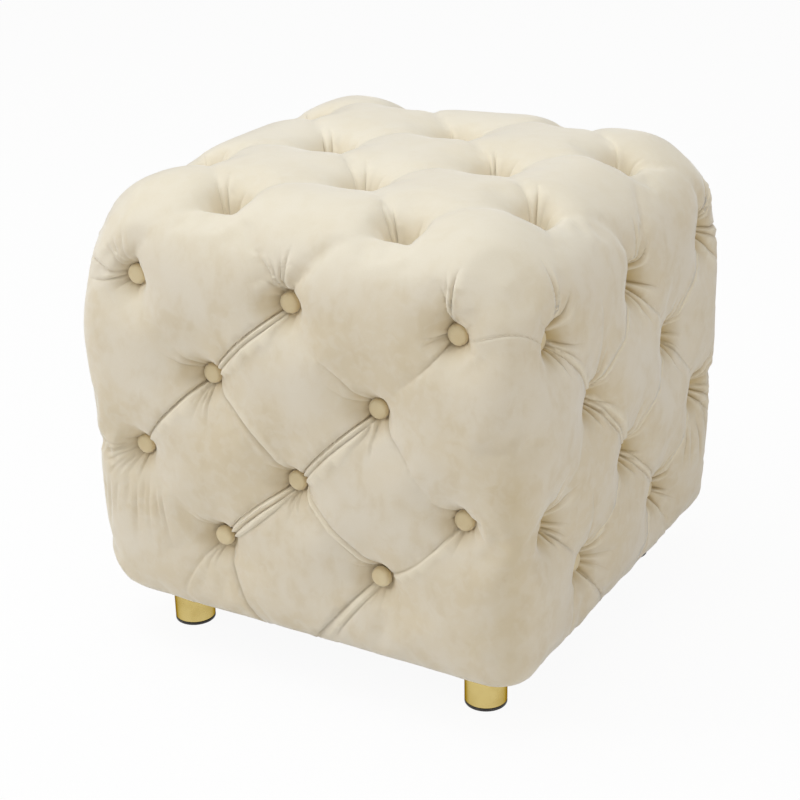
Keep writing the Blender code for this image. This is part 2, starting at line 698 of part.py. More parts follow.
def build_corner(bench, corner, way_x, way_y):
    """Build one corner: corner block, leg, glide, leg bolt and leg nut."""
    low = BASE_TOP + BLOCK_NUT_ROOM
    third_row = row_height(2, LEFT_RIGHT_DROP)
    high = third_row - TWINE_RADIUS - BLOCK_TWINE_ROOM
    outer = PANEL_BACK - CLEARANCE
    inner = outer - BLOCK_WIDTH
    block_name = "corner_block_" + corner
    block_mesh = box_mesh(block_name, (inner, inner, low), (outer, outer, high))
    block = bench.add_part(block_name, block_mesh, "softwood")
    block.rotation_euler.z = math.atan2(way_y, way_x) - math.pi / 4
    bevel = block.modifiers.new("chamfer", "BEVEL")
    bevel.width = BLOCK_CHAMFER
    bevel.segments = 1
    bevel.limit_method = "WEIGHT"
    weights = block.data.attributes.new("bevel_weight_edge", "FLOAT", "EDGE")
    for edge in block.data.edges:
        ends = [block.data.vertices[i].co for i in edge.vertices]
        inside = all(max(end.x, end.y) < inner + CLEARANCE for end in ends)
        weights.data[edge.index].value = float(inside)
    turned = (("leg_", leg_profile(), LEG_SIDES, True, "gold_metal"),
              ("leg_glide_", glide_profile(), LEG_SIDES, False, "black_plastic"),
              ("leg_bolt_", bolt_profile(), FASTENER_SIDES, False, "zinc_steel"),
              ("leg_nut_", nut_profile(), FASTENER_SIDES, True, "zinc_steel"))
    for prefix, profile, sides, closed, finish in turned:
        name = prefix + corner
        part = bench.add_part(name, turned_mesh(name, profile, sides, closed), finish)
        part.location = (way_x * LEG_CENTRE, way_y * LEG_CENTRE, 0)


def main():
    """Build the whole footstool."""
    clear_scene()
    bench = Bench()
    top_twine = top_twine_cutters(bench)
    for side, quarter_turns, drop in SIDES:
        build_side(bench, side, quarter_turns, drop, top_twine)
    build_top(bench, top_twine[0])
    build_base(bench)
    for corner, way_x, way_y in CORNERS:
        build_corner(bench, corner, way_x, way_y)


main()
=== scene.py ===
"""Looks of a deep-buttoned velvet cube footstool on four short gold legs.

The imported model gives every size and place. This script adds the velvet cover with its simulated
tufts, pleats and wrinkles, the covered buttons, the turned legs and the finishes.
"""

import logging
import math
from dataclasses import dataclass, field
from enum import Enum
from typing import Iterable, Sequence

import bmesh
import bpy
import numpy as np
from mathutils import Matrix, Vector, geometry, noise


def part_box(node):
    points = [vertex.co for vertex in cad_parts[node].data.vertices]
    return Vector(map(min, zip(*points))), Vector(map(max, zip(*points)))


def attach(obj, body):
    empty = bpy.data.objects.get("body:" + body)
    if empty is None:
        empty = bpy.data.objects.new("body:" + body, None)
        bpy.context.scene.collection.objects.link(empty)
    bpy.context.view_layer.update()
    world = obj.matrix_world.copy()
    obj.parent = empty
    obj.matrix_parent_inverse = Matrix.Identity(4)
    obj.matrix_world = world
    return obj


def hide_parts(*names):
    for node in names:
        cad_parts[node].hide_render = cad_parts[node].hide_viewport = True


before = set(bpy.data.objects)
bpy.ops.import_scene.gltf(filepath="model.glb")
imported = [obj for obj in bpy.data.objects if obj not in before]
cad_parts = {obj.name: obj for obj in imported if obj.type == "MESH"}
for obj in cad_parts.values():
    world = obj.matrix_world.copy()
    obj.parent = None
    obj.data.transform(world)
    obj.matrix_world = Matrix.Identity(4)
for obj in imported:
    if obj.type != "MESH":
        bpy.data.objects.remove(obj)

LOG = logging.getLogger("footstool")
ROOT = "root"
FACE_LABELS = ("front", "back", "left", "right", "top")
SHARP_ANGLE = math.radians(50)
CORNER_TUCK = 0.018
CORNER_REACH = 0.045
FOOT_RISE = 0.018
FOOT_REACH = 0.030
FILLET_SHARE = 0.45
SWEEP_GUIDE = (0.13, 0.31, 0.94)
STEEP = 0.8
MILLIMETRES = 1000
MERGED = 1e-5
LEAST_AREA = 1e-11
LEAST_LENGTH = 1e-9
WELD = 1e-6

Array = np.ndarray
Strip = tuple[int, float, float]
Pair = tuple[float, float]
Triple = tuple[float, float, float]
Colour = Triple
Fan = tuple[float, float, int, float, float]
Shell = tuple[Array, list[Sequence[int]]]
Draws = np.random.RandomState
Socket = bpy.types.NodeSocket
Inputs = dict[str | int, object]
Material = bpy.types.Material
Piece = bpy.types.Object


def eased(share: Array) -> Array:
    """Smooth step of a share that is held between 0 and 1."""
    held = np.clip(share, 0.0, 1.0)
    return held * held * (3 - 2 * held)


def unit(vectors: Array) -> Array:
    """Vectors of length 1 along the last axis."""
    return vectors / np.maximum(np.linalg.norm(vectors, axis=-1, keepdims=True), 1e-12)


def lengths(vectors: Array) -> Array:
    """Lengths of vectors along the last axis."""
    return np.linalg.norm(vectors, axis=-1)


def bell(distance: Array) -> Array:
    """Bell curve: 1 at no distance, close to 0 at twice the width."""
    return np.exp(-np.square(distance))


def close_to(points: Array, line: Array, reach: float) -> Array:
    """True for each point that lies in a line's box or within a reach of it."""
    return np.all((points > line.min(0) - reach) & (points < line.max(0) + reach), axis=1)


def tucked(points: Array, half_width: float, top: float) -> Array:
    """Draw points in at the upper corners of a box, where the cover lies tight over it.

    Args:
        points: Points on the box.
        half_width: Half the box's width.
        top: Height of its top.

    Returns:
        The points with the corners pulled in.
    """
    corner = np.where(points < 0, -1.0, 1.0) * half_width
    corner[:, 2] = top
    inward = unit(np.column_stack([-np.sign(corner[:, :2]), np.full(len(points), -1.0)]))
    near = eased(1 - lengths(points - corner) / CORNER_REACH)
    return points + inward * (CORNER_TUCK * near)[:, None]


def drawn_corners(points: Array, start: float, share: Array | float) -> Array:
    """Draw points in towards the upright axis along the diagonals.

    Args:
        points: Points, or flat places.
        start: Distance along the diagonal beyond which they are drawn in.
        share: Share of the distance beyond it that stays.

    Returns:
        The points with the corners pulled in.
    """
    beyond = np.maximum(np.abs(points[:, :2]).sum(1) / math.sqrt(2) - start, 0)
    moved = points.copy()
    moved[:, :2] -= np.sign(points[:, :2]) * (beyond * (1 - share) / math.sqrt(2))[:, None]
    return moved


class Side(Enum):
    """The four upright faces, in quarter turns about Z from the front."""

    FRONT = 0
    RIGHT = 1
    BACK = 2
    LEFT = 3

    @property
    def label(self) -> str:
        """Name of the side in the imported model's nodes."""
        return self.name.lower()

    @property
    def across(self) -> Array:
        """Direction along the side, to the right of someone who faces it."""
        turn = self.value * math.pi / 2
        return np.array([round(math.cos(turn)), round(math.sin(turn)), 0.0])

    @property
    def outward(self) -> Array:
        """Direction out of the side."""
        turn = self.value * math.pi / 2
        return np.array([round(math.sin(turn)), -round(math.cos(turn)), 0.0])


class FoldStyle(Enum):
    """How the velvet is laid where it runs from one button to the next."""

    PLAIN = "no crease"
    TUCK = "one sharp tuck"
    THIN = "one narrow tuck"
    DOUBLE = "two tucks with a ridge between them"
    WIDE = "soft tucks with broad ridges between them"
    SOFT = "two shallow folds"
    FADING = "a tuck that dies out on its way down"
    RISING = "a tuck that dies out on its way up"


@dataclass
class Lattice:
    """Places of the buttons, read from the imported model's rows of buttons.

    A place on a side is given by its column and row: a column is half the distance between two
    buttons of a row, the middle column is 0, and the upper row is 0. Rows above -0.5 are on the top.
    """

    heights: Array
    pitches: Array
    top_pitch: float
    side_seat: float
    top_seat: float
    button_radius: float
    button_height: float
    side_lacing: float
    top_lacing: float

    SIDE_ROWS = 4
    TOP_ROWS = 5
    REACH = 2.0
    EDGE = 2.5
    TOP_EDGE = -0.5
    HEAD_REACH = 0.02
    SAME = 1e-5

    @classmethod
    def from_frame(cls) -> "Lattice":
        """Read the rows of buttons of all five faces.

        Returns:
            The lattice with one height and one pitch for each row of each side.
        """
        heights, pitches = np.zeros((4, cls.SIDE_ROWS)), np.zeros((4, cls.SIDE_ROWS))
        for side in Side:
            for row in range(cls.SIDE_ROWS):
                points = node_points(f"buttons_{side.label}_row_{row + 1}")
                level = points @ side.outward
                crowns = points[level > level.max() - cls.SAME]
                heights[side.value, row] = crowns[:, 2].mean()
                pitches[side.value, row] = np.abs(crowns @ side.across).max() / (2 - row % 2)
        points = node_points("buttons_top_row_1")
        crowns = points[points[:, 2] > points[:, 2].max() - cls.SAME]
        reach = lengths(points[:, :2] - crowns[0, :2])
        head = reach < cls.HEAD_REACH
        rim = head & (reach > reach[head].max() - cls.SAME)
        drop = points[:, 2].max() - points[rim, 2].max()
        front = -node_points("buttons_front_row_1")[:, 1]
        return cls(heights, pitches, np.abs(crowns[:, 0]).max(), front.max() - drop,
                   points[:, 2].max() - drop, reach[rim].max(), drop, front.min(), points[:, 2].min())

    @classmethod
    def columns(cls, row: int) -> tuple[int, ...]:
        """Columns that carry a button in a row."""
        return (-2, 0, 2) if row % 2 == 0 else (-1, 1)

    @classmethod
    def side_buttons(cls) -> list[Strip]:
        """Every button of the four sides as (side, column, row)."""
        return [(side.value, column, row) for side in Side for row in range(cls.SIDE_ROWS)
                for column in cls.columns(row)]

    @classmethod
    def top_buttons(cls) -> list[Strip]:
        """Every button of the top, as places of the front's strip."""
        return [(0, column, row) for row in range(-cls.TOP_ROWS, 0) for column in cls.columns(row)]

    @classmethod
    def buttons(cls) -> list[Strip]:
        """Every button of the sides, then every button of the top."""
        return cls.side_buttons() + cls.top_buttons()

    def seats(self, label: str) -> tuple[list[Array], Array]:
        """Middles of the seats of a face's buttons, and the direction out of the face.

        Args:
            label: Name of the face.

        Returns:
            The middles of each row's seats, and the direction.
        """
        up = np.array([0, 0, 1.0])
        if label == "top":
            return [np.array([(column * self.top_pitch, (row - 2) * self.top_pitch, self.top_seat)
                              for column in self.columns(row + 1)]) for row in range(self.TOP_ROWS)], up
        side = Side[label.upper()]
        heights, pitches = self.heights[side.value], self.pitches[side.value]
        return [(np.array(self.columns(row)) * pitches[row])[:, None] * side.across
                + self.side_seat * side.outward + heights[row] * up
                for row in range(self.SIDE_ROWS)], side.outward


def shown(name: str, data: bpy.types.ID) -> Piece:
    """Make an object and put it in the scene."""
    made = bpy.data.objects.new(name, data)
    bpy.context.scene.collection.objects.link(made)
    return made


def node_points(node: str) -> Array:
    """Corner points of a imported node, in metres."""
    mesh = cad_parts[node].data
    points = np.zeros(len(mesh.vertices) * 3, np.float32)
    mesh.vertices.foreach_get("co", points)
    return points.reshape(-1, 3).astype(float)


@dataclass
class Block:
    """The stool's rounded body before it is buttoned."""

    lattice: Lattice
    half_width: float
    top: float
    bottom: float
    inner: float
    inner_top: float
    corner_radius: float = 0.041
    top_radius: float = 0.077
    radius_change: Pair = (0.27, 0.375)
    bottom_radius: float = 0.016
    corner_bottom_radii: tuple[float, float, float, float] = (0.018, 0.024, 0.030, 0.036)
    bottom_lift: float = 0.004
    bottom_tuck: float = 0.003
    taper: float = 0.007
    taper_row: float = 1.2
    crown_drop: float = 0.004
    cell: float = 0.075
    corner_length: float = 0.050
    edge_length: float = 0.067
    row_length: float = 0.0727
    skirt_length: float = 0.078
    foam_room: float = 0.0003
    roll_share: float = 0.98

    MARKS = (-0.5, 0, 1, 2, 3, 4)
    COLUMNS = (-2.5, -2, 2, 2.5)
    ROWS = (-0.5, 0, 3, 4)

    @classmethod
    def from_frame(cls, lattice: Lattice) -> "Block":
        """Read the body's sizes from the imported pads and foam."""
        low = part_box("tufted_pad_front")[0]
        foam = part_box("foam_top")[1]
        return cls(lattice, -low.y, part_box("tufted_pad_top")[1].z - cls.crown_drop,
                   low.z + cls.bottom_lift, inner=foam.x + cls.foam_room, inner_top=foam.z + cls.foam_room)

    @property
    def side_length(self) -> float:
        """Length of one side's stretch of the cover, from corner to corner."""
        return 4 * self.cell + 2 * self.corner_length

    @property
    def wrap_depth(self) -> float:
        """Length of the cover from the top mitre down to the bottom edge."""
        return self.edge_length + 3 * self.row_length + self.skirt_length

    @property
    def runs(self) -> tuple[float, ...]:
        """Distances along the cover from a side's left corner to its marked columns."""
        edge, reach = self.corner_length, 4 * self.cell
        return 0, edge, edge + reach, 2 * edge + reach

    @property
    def falls(self) -> Array:
        """Distances down the cover from the top mitre to its marked rows."""
        return np.cumsum((0, self.edge_length, 3 * self.row_length, self.skirt_length))

    def run(self, column: Array) -> Array:
        """Distance along the cover to a column."""
        return np.interp(column, self.COLUMNS, self.runs)

    def column_at(self, run: Array) -> Array:
        """Column at a distance along the cover."""
        return np.interp(run, self.runs, self.COLUMNS)

    def fall(self, row: Array) -> Array:
        """Distance down the cover to a row."""
        return np.interp(row, self.ROWS, self.falls)

    def row_at(self, fall: Array) -> Array:
        """Row at a distance down the cover."""
        return np.interp(fall, self.falls, self.ROWS)

    def spread(self, column: Array, pitch: Array | float) -> tuple[Array, Array]:
        """Distances from the middle at columns, and shares of the way from the last button to the edge."""
        inner = np.minimum(np.abs(column), Lattice.REACH) * pitch
        share = np.clip((np.abs(column) - Lattice.REACH) / (Lattice.EDGE - Lattice.REACH), 0, 1)
        return np.sign(column) * (inner + (self.half_width - inner) * share), share

    def rounded(self, points: Array) -> tuple[Array, Array]:
        """Carry points of the square outline onto the rounded body.

        Args:
            points: Points on the square outline.

        Returns:
            The points on the body, and the directions out of it.
        """
        low, high = self.radius_change
        share = eased((points[..., 2] - low) / (high - low))[..., None]
        lower, upper = (self.rounded_by(points, radius) for radius in (self.corner_radius, self.top_radius))
        mixed = [below * (1 - share) + above * share for below, above in zip(lower, upper)]
        return mixed[0], unit(mixed[1])

    def rounded_by(self, points: Array, radius: float) -> tuple[Array, Array]:
        """Carry points onto the body with all its edges rounded alike.

        Args:
            points: Points on the square outline.
            radius: Radius of the edges.

        Returns:
            The points on the body, and the directions out of it.
        """
        flat = self.half_width - radius
        core = np.stack([np.clip(points[..., 0], -flat, flat), np.clip(points[..., 1], -flat, flat),
                         np.minimum(points[..., 2], self.top - radius)], axis=-1)
        outward = unit(points - core)
        return core + outward * radius, outward

    def side_points(self, side: int, column: Array, row: Array) -> tuple[Array, Array]:
        """Points of a side's strip between the top mitre and the bottom edge.

        Args:
            side: Number of the side.
            column: Columns of the points.
            row: Rows of the points.

        Returns:
            The points on the body, and the directions out of it.
        """
        lattice = self.lattice
        marks = self.MARKS
        own = np.interp(row, marks, (self.top, *lattice.heights[side], self.bottom))
        shared = np.interp(row, marks, (self.top, *lattice.heights.mean(0), self.bottom))
        pitch = np.interp(row, marks, (lattice.top_pitch, *lattice.pitches[side], lattice.pitches[side, 3]))
        across, share = self.spread(column, pitch)
        up = own + (shared - own) * share
        way = Side(side)
        outline = (across[..., None] * way.across + self.half_width * way.outward
                   + up[..., None] * np.array([0, 0, 1.0]))
        points, outward = self.rounded(outline)
        ends = [self.corner_bottom_radii[(side + turn) % 4] for turn in (-1, 0)]
        radius = self.bottom_radius + (np.where(column < 0, *ends) - self.bottom_radius) * eased(share)
        roll = np.clip((self.bottom + radius - up) / radius, 0, 1)
        tuck = self.bottom_tuck * roll + radius * (1 - np.sqrt(1 - self.roll_share * roll ** 2))
        tuck += self.taper * eased((row - self.taper_row) / (4 - self.taper_row))
        return points - outward * tuck[..., None], outward

    def top_points(self, column: Array, row: Array) -> tuple[Array, Array]:
        """Points of the top, from its two lattice coordinates.

        Args:
            column: Coordinates along X.
            row: Coordinates along Y.

        Returns:
            The points on the body, and the directions out of it.
        """
        places = [self.spread(value, self.lattice.top_pitch)[0] for value in (column, row)]
        outline = np.stack([*places, np.full_like(places[0], self.top)], axis=-1)
        return self.rounded(outline)

    def locate(self, strip: Array) -> tuple[Array, Array]:
        """Turn places of the sides' strips into places of the cover's two flat charts.

        Args:
            strip: Rows of (side, column, row); a row above -0.5 lies on the top.

        Returns:
            True for each place on the top chart, and its two chart coordinates in metres.
        """
        side, column, row = strip.T.copy()
        over = column > Lattice.EDGE
        under = column < -Lattice.EDGE
        upright = row >= Lattice.TOP_EDGE
        side = np.where(upright, (side + over - under.astype(int)) % 4, side)
        column = np.where(upright, column - 2 * Lattice.EDGE * (over - under.astype(float)), column)
        wrap = np.stack([side * self.side_length + self.run(column), self.fall(row)], axis=1)
        turn = side * math.pi / 2
        ahead = -3 - row
        along_x = column * np.cos(turn) - ahead * np.sin(turn)
        along_y = column * np.sin(turn) + ahead * np.cos(turn)
        flat = np.stack([self.run(along_x), self.run(along_y)], axis=1)
        return ~upright, np.where(upright[:, None], wrap, flat)


@dataclass
class Skin:
    """The cover as two regular grids of points: the wrap round the sides, and the top."""

    block: Block
    across: int
    down: int
    wrap: Array = field(init=False)
    top: Array = field(init=False)
    wrap_out: Array = field(init=False)
    top_out: Array = field(init=False)

    def __post_init__(self) -> None:
        """Lay the grids on the body before it is buttoned."""
        block = self.block
        columns = block.column_at(np.linspace(0, block.side_length, self.across + 1))
        rows = block.row_at(np.linspace(0, block.wrap_depth, self.down + 1))
        row_grid, column_grid = np.meshgrid(rows, columns[:-1], indexing="ij")
        parts = [block.side_points(side.value, column_grid, row_grid) for side in Side]
        self.wrap = np.concatenate([part[0] for part in parts], axis=1)
        self.wrap_out = np.concatenate([part[1] for part in parts], axis=1)
        first, second = np.meshgrid(columns, columns, indexing="ij")
        self.top, self.top_out = block.top_points(first, second)

    def rim(self) -> Iterable[tuple[int, int, int]]:
        """Run along the top grid's places on the mitre.

        Returns:
            The place's two grid numbers, and the wrap's column that it shares.
        """
        count = self.across
        for step in range(count):
            yield step, 0, step
            yield count, step, count + step
            yield count - step, count, 2 * count + step
            yield 0, count - step, 3 * count + step

    def points(self) -> Array:
        """All points as one list: the wrap first, then the top."""
        return np.concatenate([self.wrap.reshape(-1, 3), self.top.reshape(-1, 3)])

    def outward(self) -> Array:
        """Directions out of the body for all points."""
        return np.concatenate([self.wrap_out.reshape(-1, 3), self.top_out.reshape(-1, 3)])

    def chart_places(self) -> tuple[Array, Array]:
        """Chart places of all points.

        Returns:
            True for each place on the top chart, and the chart coordinates in metres.
        """
        block = self.block
        falls = np.linspace(0, block.wrap_depth, self.down + 1)
        runs = np.linspace(0, 4 * block.side_length, 4 * self.across, endpoint=False)
        line = np.linspace(0, block.side_length, self.across + 1)
        down, across = np.meshgrid(falls, runs, indexing="ij")
        first, second = np.meshgrid(line, line, indexing="ij")
        places = np.concatenate([np.column_stack([across.ravel(), down.ravel()]),
                                 np.column_stack([first.ravel(), second.ravel()])])
        return np.arange(len(places)) >= across.size, places

    def set_points(self, points: Array) -> None:
        """Take new places for all points, and bring the mitre's two rims together.

        Args:
            points: The places, the wrap's first.
        """
        cut = self.wrap.size // 3
        self.wrap = points[:cut].reshape(self.wrap.shape).copy()
        self.top = points[cut:].reshape(self.top.shape).copy()
        for i, j, column in self.rim():
            self.top[i, j] = self.wrap[0, column]

    def at(self, strip: Array | Sequence[Strip]) -> Array:
        """Points of the cover at places of the sides' strips."""
        return self.sample(*self.block.locate(np.array(strip, float)))

    def sample(self, on_top: Array, places: Array) -> Array:
        """Points of the cover at chart places, on smooth curves through the grids.

        Args:
            on_top: True for each place on the top chart.
            places: Chart coordinates in metres.

        Returns:
            Points in space.
        """
        found = np.zeros((len(places), 3))
        step = self.block.side_length / self.across
        if on_top.any():
            spot = places[on_top] / step
            found[on_top] = catmull(self.top, spot[:, 0], spot[:, 1], periodic=False)
        wrapped = ~on_top
        if wrapped.any():
            spot = places[wrapped] / (step, self.block.wrap_depth / self.down)
            found[wrapped] = catmull(self.wrap, spot[:, 1], spot[:, 0], periodic=True)
        return found


def axis_weights(position: Array, count: int, periodic: bool) -> tuple[list[Array], list[Array]]:
    """Grid lines round each position on one axis, and their Catmull-Rom weights.

    Args:
        position: Positions in grid steps.
        count: Number of grid lines.
        periodic: True where the lines run round and meet.

    Returns:
        Four lists of line numbers, and four lists of weights.
    """
    low = np.floor(position).astype(int)
    if not periodic:
        low = np.clip(low, 0, count - 2)
    t = position - low
    weights = [(-t + 2 * t ** 2 - t ** 3) / 2, (2 - 5 * t ** 2 + 3 * t ** 3) / 2,
               (t + 4 * t ** 2 - 3 * t ** 3) / 2, (-t ** 2 + t ** 3) / 2]
    lines = [low + step for step in (-1, 0, 1, 2)]
    lines = [line % count if periodic else np.clip(line, 0, count - 1) for line in lines]
    return lines, weights


def catmull(grid: Array, first: Array, second: Array, periodic: bool) -> Array:
    """Read a grid of points between its lines.

    Args:
        grid: Points in rows and columns.
        first: Row positions.
        second: Column positions.
        periodic: True where the columns run round and meet.

    Returns:
        One point for each pair of positions.
    """
    rows, row_weights = axis_weights(first, grid.shape[0], False)
    columns, column_weights = axis_weights(second, grid.shape[1], periodic)
    found = np.zeros((len(first), 3))
    for row, row_weight in zip(rows, row_weights):
        for column, column_weight in zip(columns, column_weights):
            found += grid[row, column] * (row_weight * column_weight)[:, None]
    return found


@dataclass(frozen=True)
class Valley:
    """A line along which the padding is drawn in between two places of a strip.

    Its depths are those at its start, along its middle and at its end.
    """

    start: Strip
    end: Strip
    depths: Triple
    width: float

    MARKS = (0, 0.35, 0.65, 1)

    def depth(self, share: Array) -> Array:
        """Depth at shares of its length."""
        first, middle, last = self.depths
        return np.interp(share, self.MARKS, (first, middle, middle, last))


@dataclass(frozen=True)
class Funnel:
    """How the padding falls to a button: steeply close to it, and gently further out."""

    steep_reach: float
    wide_reach: float
    steep_share: float
    steep_power: float = 1.35
    wide_power: float = 2.0

    def share(self, distance: Array) -> Array:
        """Share of the button's depth at a distance from its seat."""
        steep, wide = (np.clip(1 - distance / reach, 0, 1) for reach in (self.steep_reach, self.wide_reach))
        return self.steep_share * steep ** self.steep_power + (1 - self.steep_share) * wide ** self.wide_power


@dataclass
class Tufting:
    """Draws the body in at its buttons and along the lines between them."""

    block: Block
    lattice: Lattice
    skin: Skin
    seat_reach: float = 0.0052
    side_funnel: Funnel = Funnel(0.0190, 0.050, 0.68, 1.5)
    top_funnel: Funnel = Funnel(0.023, 0.044, 0.68, 1.9)
    side_valley: Triple = (0.0034, 0.0013, 0.0034)
    side_valley_width: float = 0.008
    top_valley: Triple = (0.0100, 0.0026, 0.0100)
    top_valley_width: float = 0.006
    edge_valley: Triple = (0.0100, 0.0014, 0.0100)
    skirt_valley: Triple = (0.0034, 0.0012, 0.0003)
    seam_depth: float = 0.0012
    pinch_depth: float = 0.0006
    corner_width: float = 0.014
    corner_drop: float = 0.001
    corner_reach: float = 0.045
    unevenness: float = 0.0016
    uneven_scale: float = 14.0
    crown_room: float = 0.0045
    valley_reach: float = 0.05
    valley_samples: int = 32
    top_slope: float = 0.7
    skirt_foot: Pair = (0.2, 4.1)

    # Puffs that are filled less than the others: place, drop and reach
    SLACK = (
        ((2, 0.6, -0.7), 0.009, 0.065), ((2, -1.9, -0.8), 0.003, 0.050), ((2, 2.3, -0.8), 0.003, 0.050),
        ((1, 2.4, 0.9), 0.003, 0.060), ((1, 2.35, 0), -0.001, 0.040), ((0, -2.45, 1.75), 0.0035, 0.045))

    def button_places(self) -> tuple[Array, Array, list[Funnel]]:
        """Find where the buttons draw the body in.

        Returns:
            Their places on the body, how deep each is pulled in and the padding's fall to it.
        """
        sides, tops = self.lattice.side_buttons(), self.lattice.top_buttons()
        places = self.skin.at(sides + tops)
        depths = (self.block.half_width - self.lattice.side_seat, self.block.top - self.lattice.top_seat)
        funnels = [self.side_funnel] * len(sides) + [self.top_funnel] * len(tops)
        return places, np.repeat(depths, (len(sides), len(tops))), funnels

    def button_axes(self) -> Array:
        """Directions in which all buttons face."""
        sides = [Side(side).outward for side, _, _ in self.lattice.side_buttons()]
        return np.array(sides + [(0, 0, 1)] * len(self.lattice.top_buttons()), float)

    def valleys(self) -> list[Valley]:
        """List the lines along which the padding is drawn in.

        Returns:
            Lines from button to button, down to the bottom edge and along the corner seams.
        """
        lines = []
        for row in range(-Lattice.TOP_ROWS, -1):
            lines += self.row_valleys(0, row)
        for side in range(4):
            for row in range(-1, 3):
                lines += self.row_valleys(side, row)
            for way in (-1, 1):
                across, low = self.skirt_foot
                lines.append(Valley((side, way, 3), (side, across * way, low), self.skirt_valley,
                                    self.side_valley_width))
            for row, depth in ((0, self.seam_depth), (2, self.pinch_depth)):
                lines.append(Valley((side, 2, row), (side, 3, row), (depth,) * 3, self.corner_width))
        return lines

    def row_valleys(self, side: int, row: int) -> list[Valley]:
        """List the lines from one row's buttons to those of the row below.

        Args:
            side: Number of the side.
            row: The upper row.

        Returns:
            The lines.
        """
        depths, width = self.side_valley, self.side_valley_width
        if row < 0:
            depths, width = self.edge_valley if row == -1 else self.top_valley, self.top_valley_width
        return [Valley((side, column, row), (side, column + way, row + 1), depths, width)
                for column in Lattice.columns(row) for way in (-1, 1) if abs(column + way) <= 2]

    def strip_points(self, start: Strip, end: Strip, count: int) -> Array:
        """Points of the cover along a straight line between two places of a strip."""
        share = np.linspace(0, 1, count)[:, None]
        strip = np.array(start, float) * (1 - share) + np.array(end, float) * share
        return self.skin.at(strip)

    def draw_in(self) -> None:
        """Draw the skin in at its buttons, along its valleys and where it is slack."""
        points, outward = self.skin.points(), self.skin.outward()
        depth = np.zeros(len(points))
        places, seats, funnels = self.button_places()
        inward = -outward
        for place, axis, seat, funnel in zip(places, self.button_axes(), seats, funnels):
            distance = lengths(points - place) - self.seat_reach
            share = funnel.share(np.maximum(distance, 0))
            depth += seat * share
            inward += share[:, None] * (outward - axis)
        depth = np.minimum(depth, seats.max())
        for valley in self.valleys():
            line = self.strip_points(valley.start, valley.end, self.valley_samples)
            near = close_to(points, line, self.valley_reach)
            apart = lengths(points[near, None] - line[None])
            share = apart.argmin(1) / (len(line) - 1)
            depth[near] += valley.depth(share) * np.exp(-apart.min(1) / valley.width)
        drops = [((side, 2.5, -0.5), self.corner_drop, self.corner_reach) for side in range(4)]
        for place, drop, reach in (*drops, *self.SLACK):
            middle = self.strip_points(place, place, 1)
            depth += drop * bell(lengths(points - middle) / reach)
        for index, point in enumerate(points):
            depth[index] += self.unevenness * noise.noise(Vector(point) * self.uneven_scale)
        limit = np.where(outward[:, 2] > self.top_slope, seats.max(), seats.min())
        depth = np.minimum(depth, limit) + self.crown_room * (1 - depth / limit)
        self.skin.set_points(points + unit(inward) * depth[:, None])


@dataclass
class Inflation:
    """Cloth simulation that swells the buttoned cover as its filling does."""

    skin: Skin
    frames: int = 20
    pressure: float = 4.0
    slack: float = 0.012
    cap: float = 0.0105
    steps: int = 5

    def faces(self) -> tuple[list[tuple[int, ...]], Array]:
        """Join the skin's grids.

        Returns:
            Their four-sided faces, and the point that each grid place uses.
        """
        skin = self.skin
        rows, columns = skin.wrap.shape[:2]
        count = skin.across + 1
        wrap = np.arange(rows * columns).reshape(rows, columns)
        top = np.full((count, count), -1)
        for i, j, column in skin.rim():
            top[i, j] = wrap[0, column]
        inside = top < 0
        top[inside] = rows * columns + np.arange(inside.sum())
        quads = np.stack([wrap[:-1], wrap[1:], np.roll(wrap[1:], -1, 1), np.roll(wrap[:-1], -1, 1)], -1)
        lid = np.stack([top[:-1, :-1], top[1:, :-1], top[1:, 1:], top[:-1, 1:]], -1)
        both = np.concatenate([quads.reshape(-1, 4), lid.reshape(-1, 4)])
        return both.tolist(), np.concatenate([wrap.ravel(), top.ravel()])

    def run(self, held: Array) -> Skin:
        """Simulate the skin.

        Args:
            held: How firmly each point of the skin is held, from 0 to 1.

        Returns:
            The skin, which now holds how far each point moves instead of its place.
        """
        quads, uses = self.faces()
        start = self.skin.points()
        points = np.zeros((uses.max() + 1, 3))
        points[uses] = start
        mesh = bpy.data.meshes.new("swelling_cover")
        mesh.from_pydata(points.tolist(), [], quads)
        cover = shown("swelling_cover", mesh)
        group = cover.vertex_groups.new(name="held")
        firm = np.zeros(len(points))
        firm[uses] = held
        for level in np.unique(firm[firm > 0]):
            group.add(np.flatnonzero(firm == level).tolist(), float(level), "REPLACE")
        cloth = cover.modifiers.new("filling", "CLOTH")
        settings = cloth.settings
        settings.quality = self.steps
        settings.use_pressure = True
        settings.uniform_pressure_force = self.pressure
        settings.shrink_min = -self.slack
        settings.vertex_group_mass = group.name
        settings.effector_weights.gravity = 0.0
        cloth.collision_settings.use_collision = False
        cloth.point_cache.frame_end = self.frames
        scene = bpy.context.scene
        for step in range(1, self.frames + 1):
            scene.frame_set(step)
        evaluated = cover.evaluated_get(bpy.context.evaluated_depsgraph_get())
        moved = np.zeros(len(points) * 3, np.float32)
        evaluated.data.vertices.foreach_get("co", moved)
        bpy.data.objects.remove(cover)
        bpy.data.meshes.remove(mesh)
        scene.frame_set(1)
        shift = moved.reshape(-1, 3) - points
        length = np.linalg.norm(shift, axis=1, keepdims=True)
        LOG.info("swelling: most %.1f mm, mean %.1f mm", length.max() * MILLIMETRES,
                 length.mean() * MILLIMETRES)
        shift *= np.minimum(1, self.cap / np.maximum(length, LEAST_LENGTH))
        self.skin.set_points(shift[uses])
        return self.skin


@dataclass
class Fold:
    """One crease of the velvet: places of a strip, and how strong it is at each of them."""

    strip: Array
    strength: Array
    depth: float
    width: float
    lip: float = 0.0


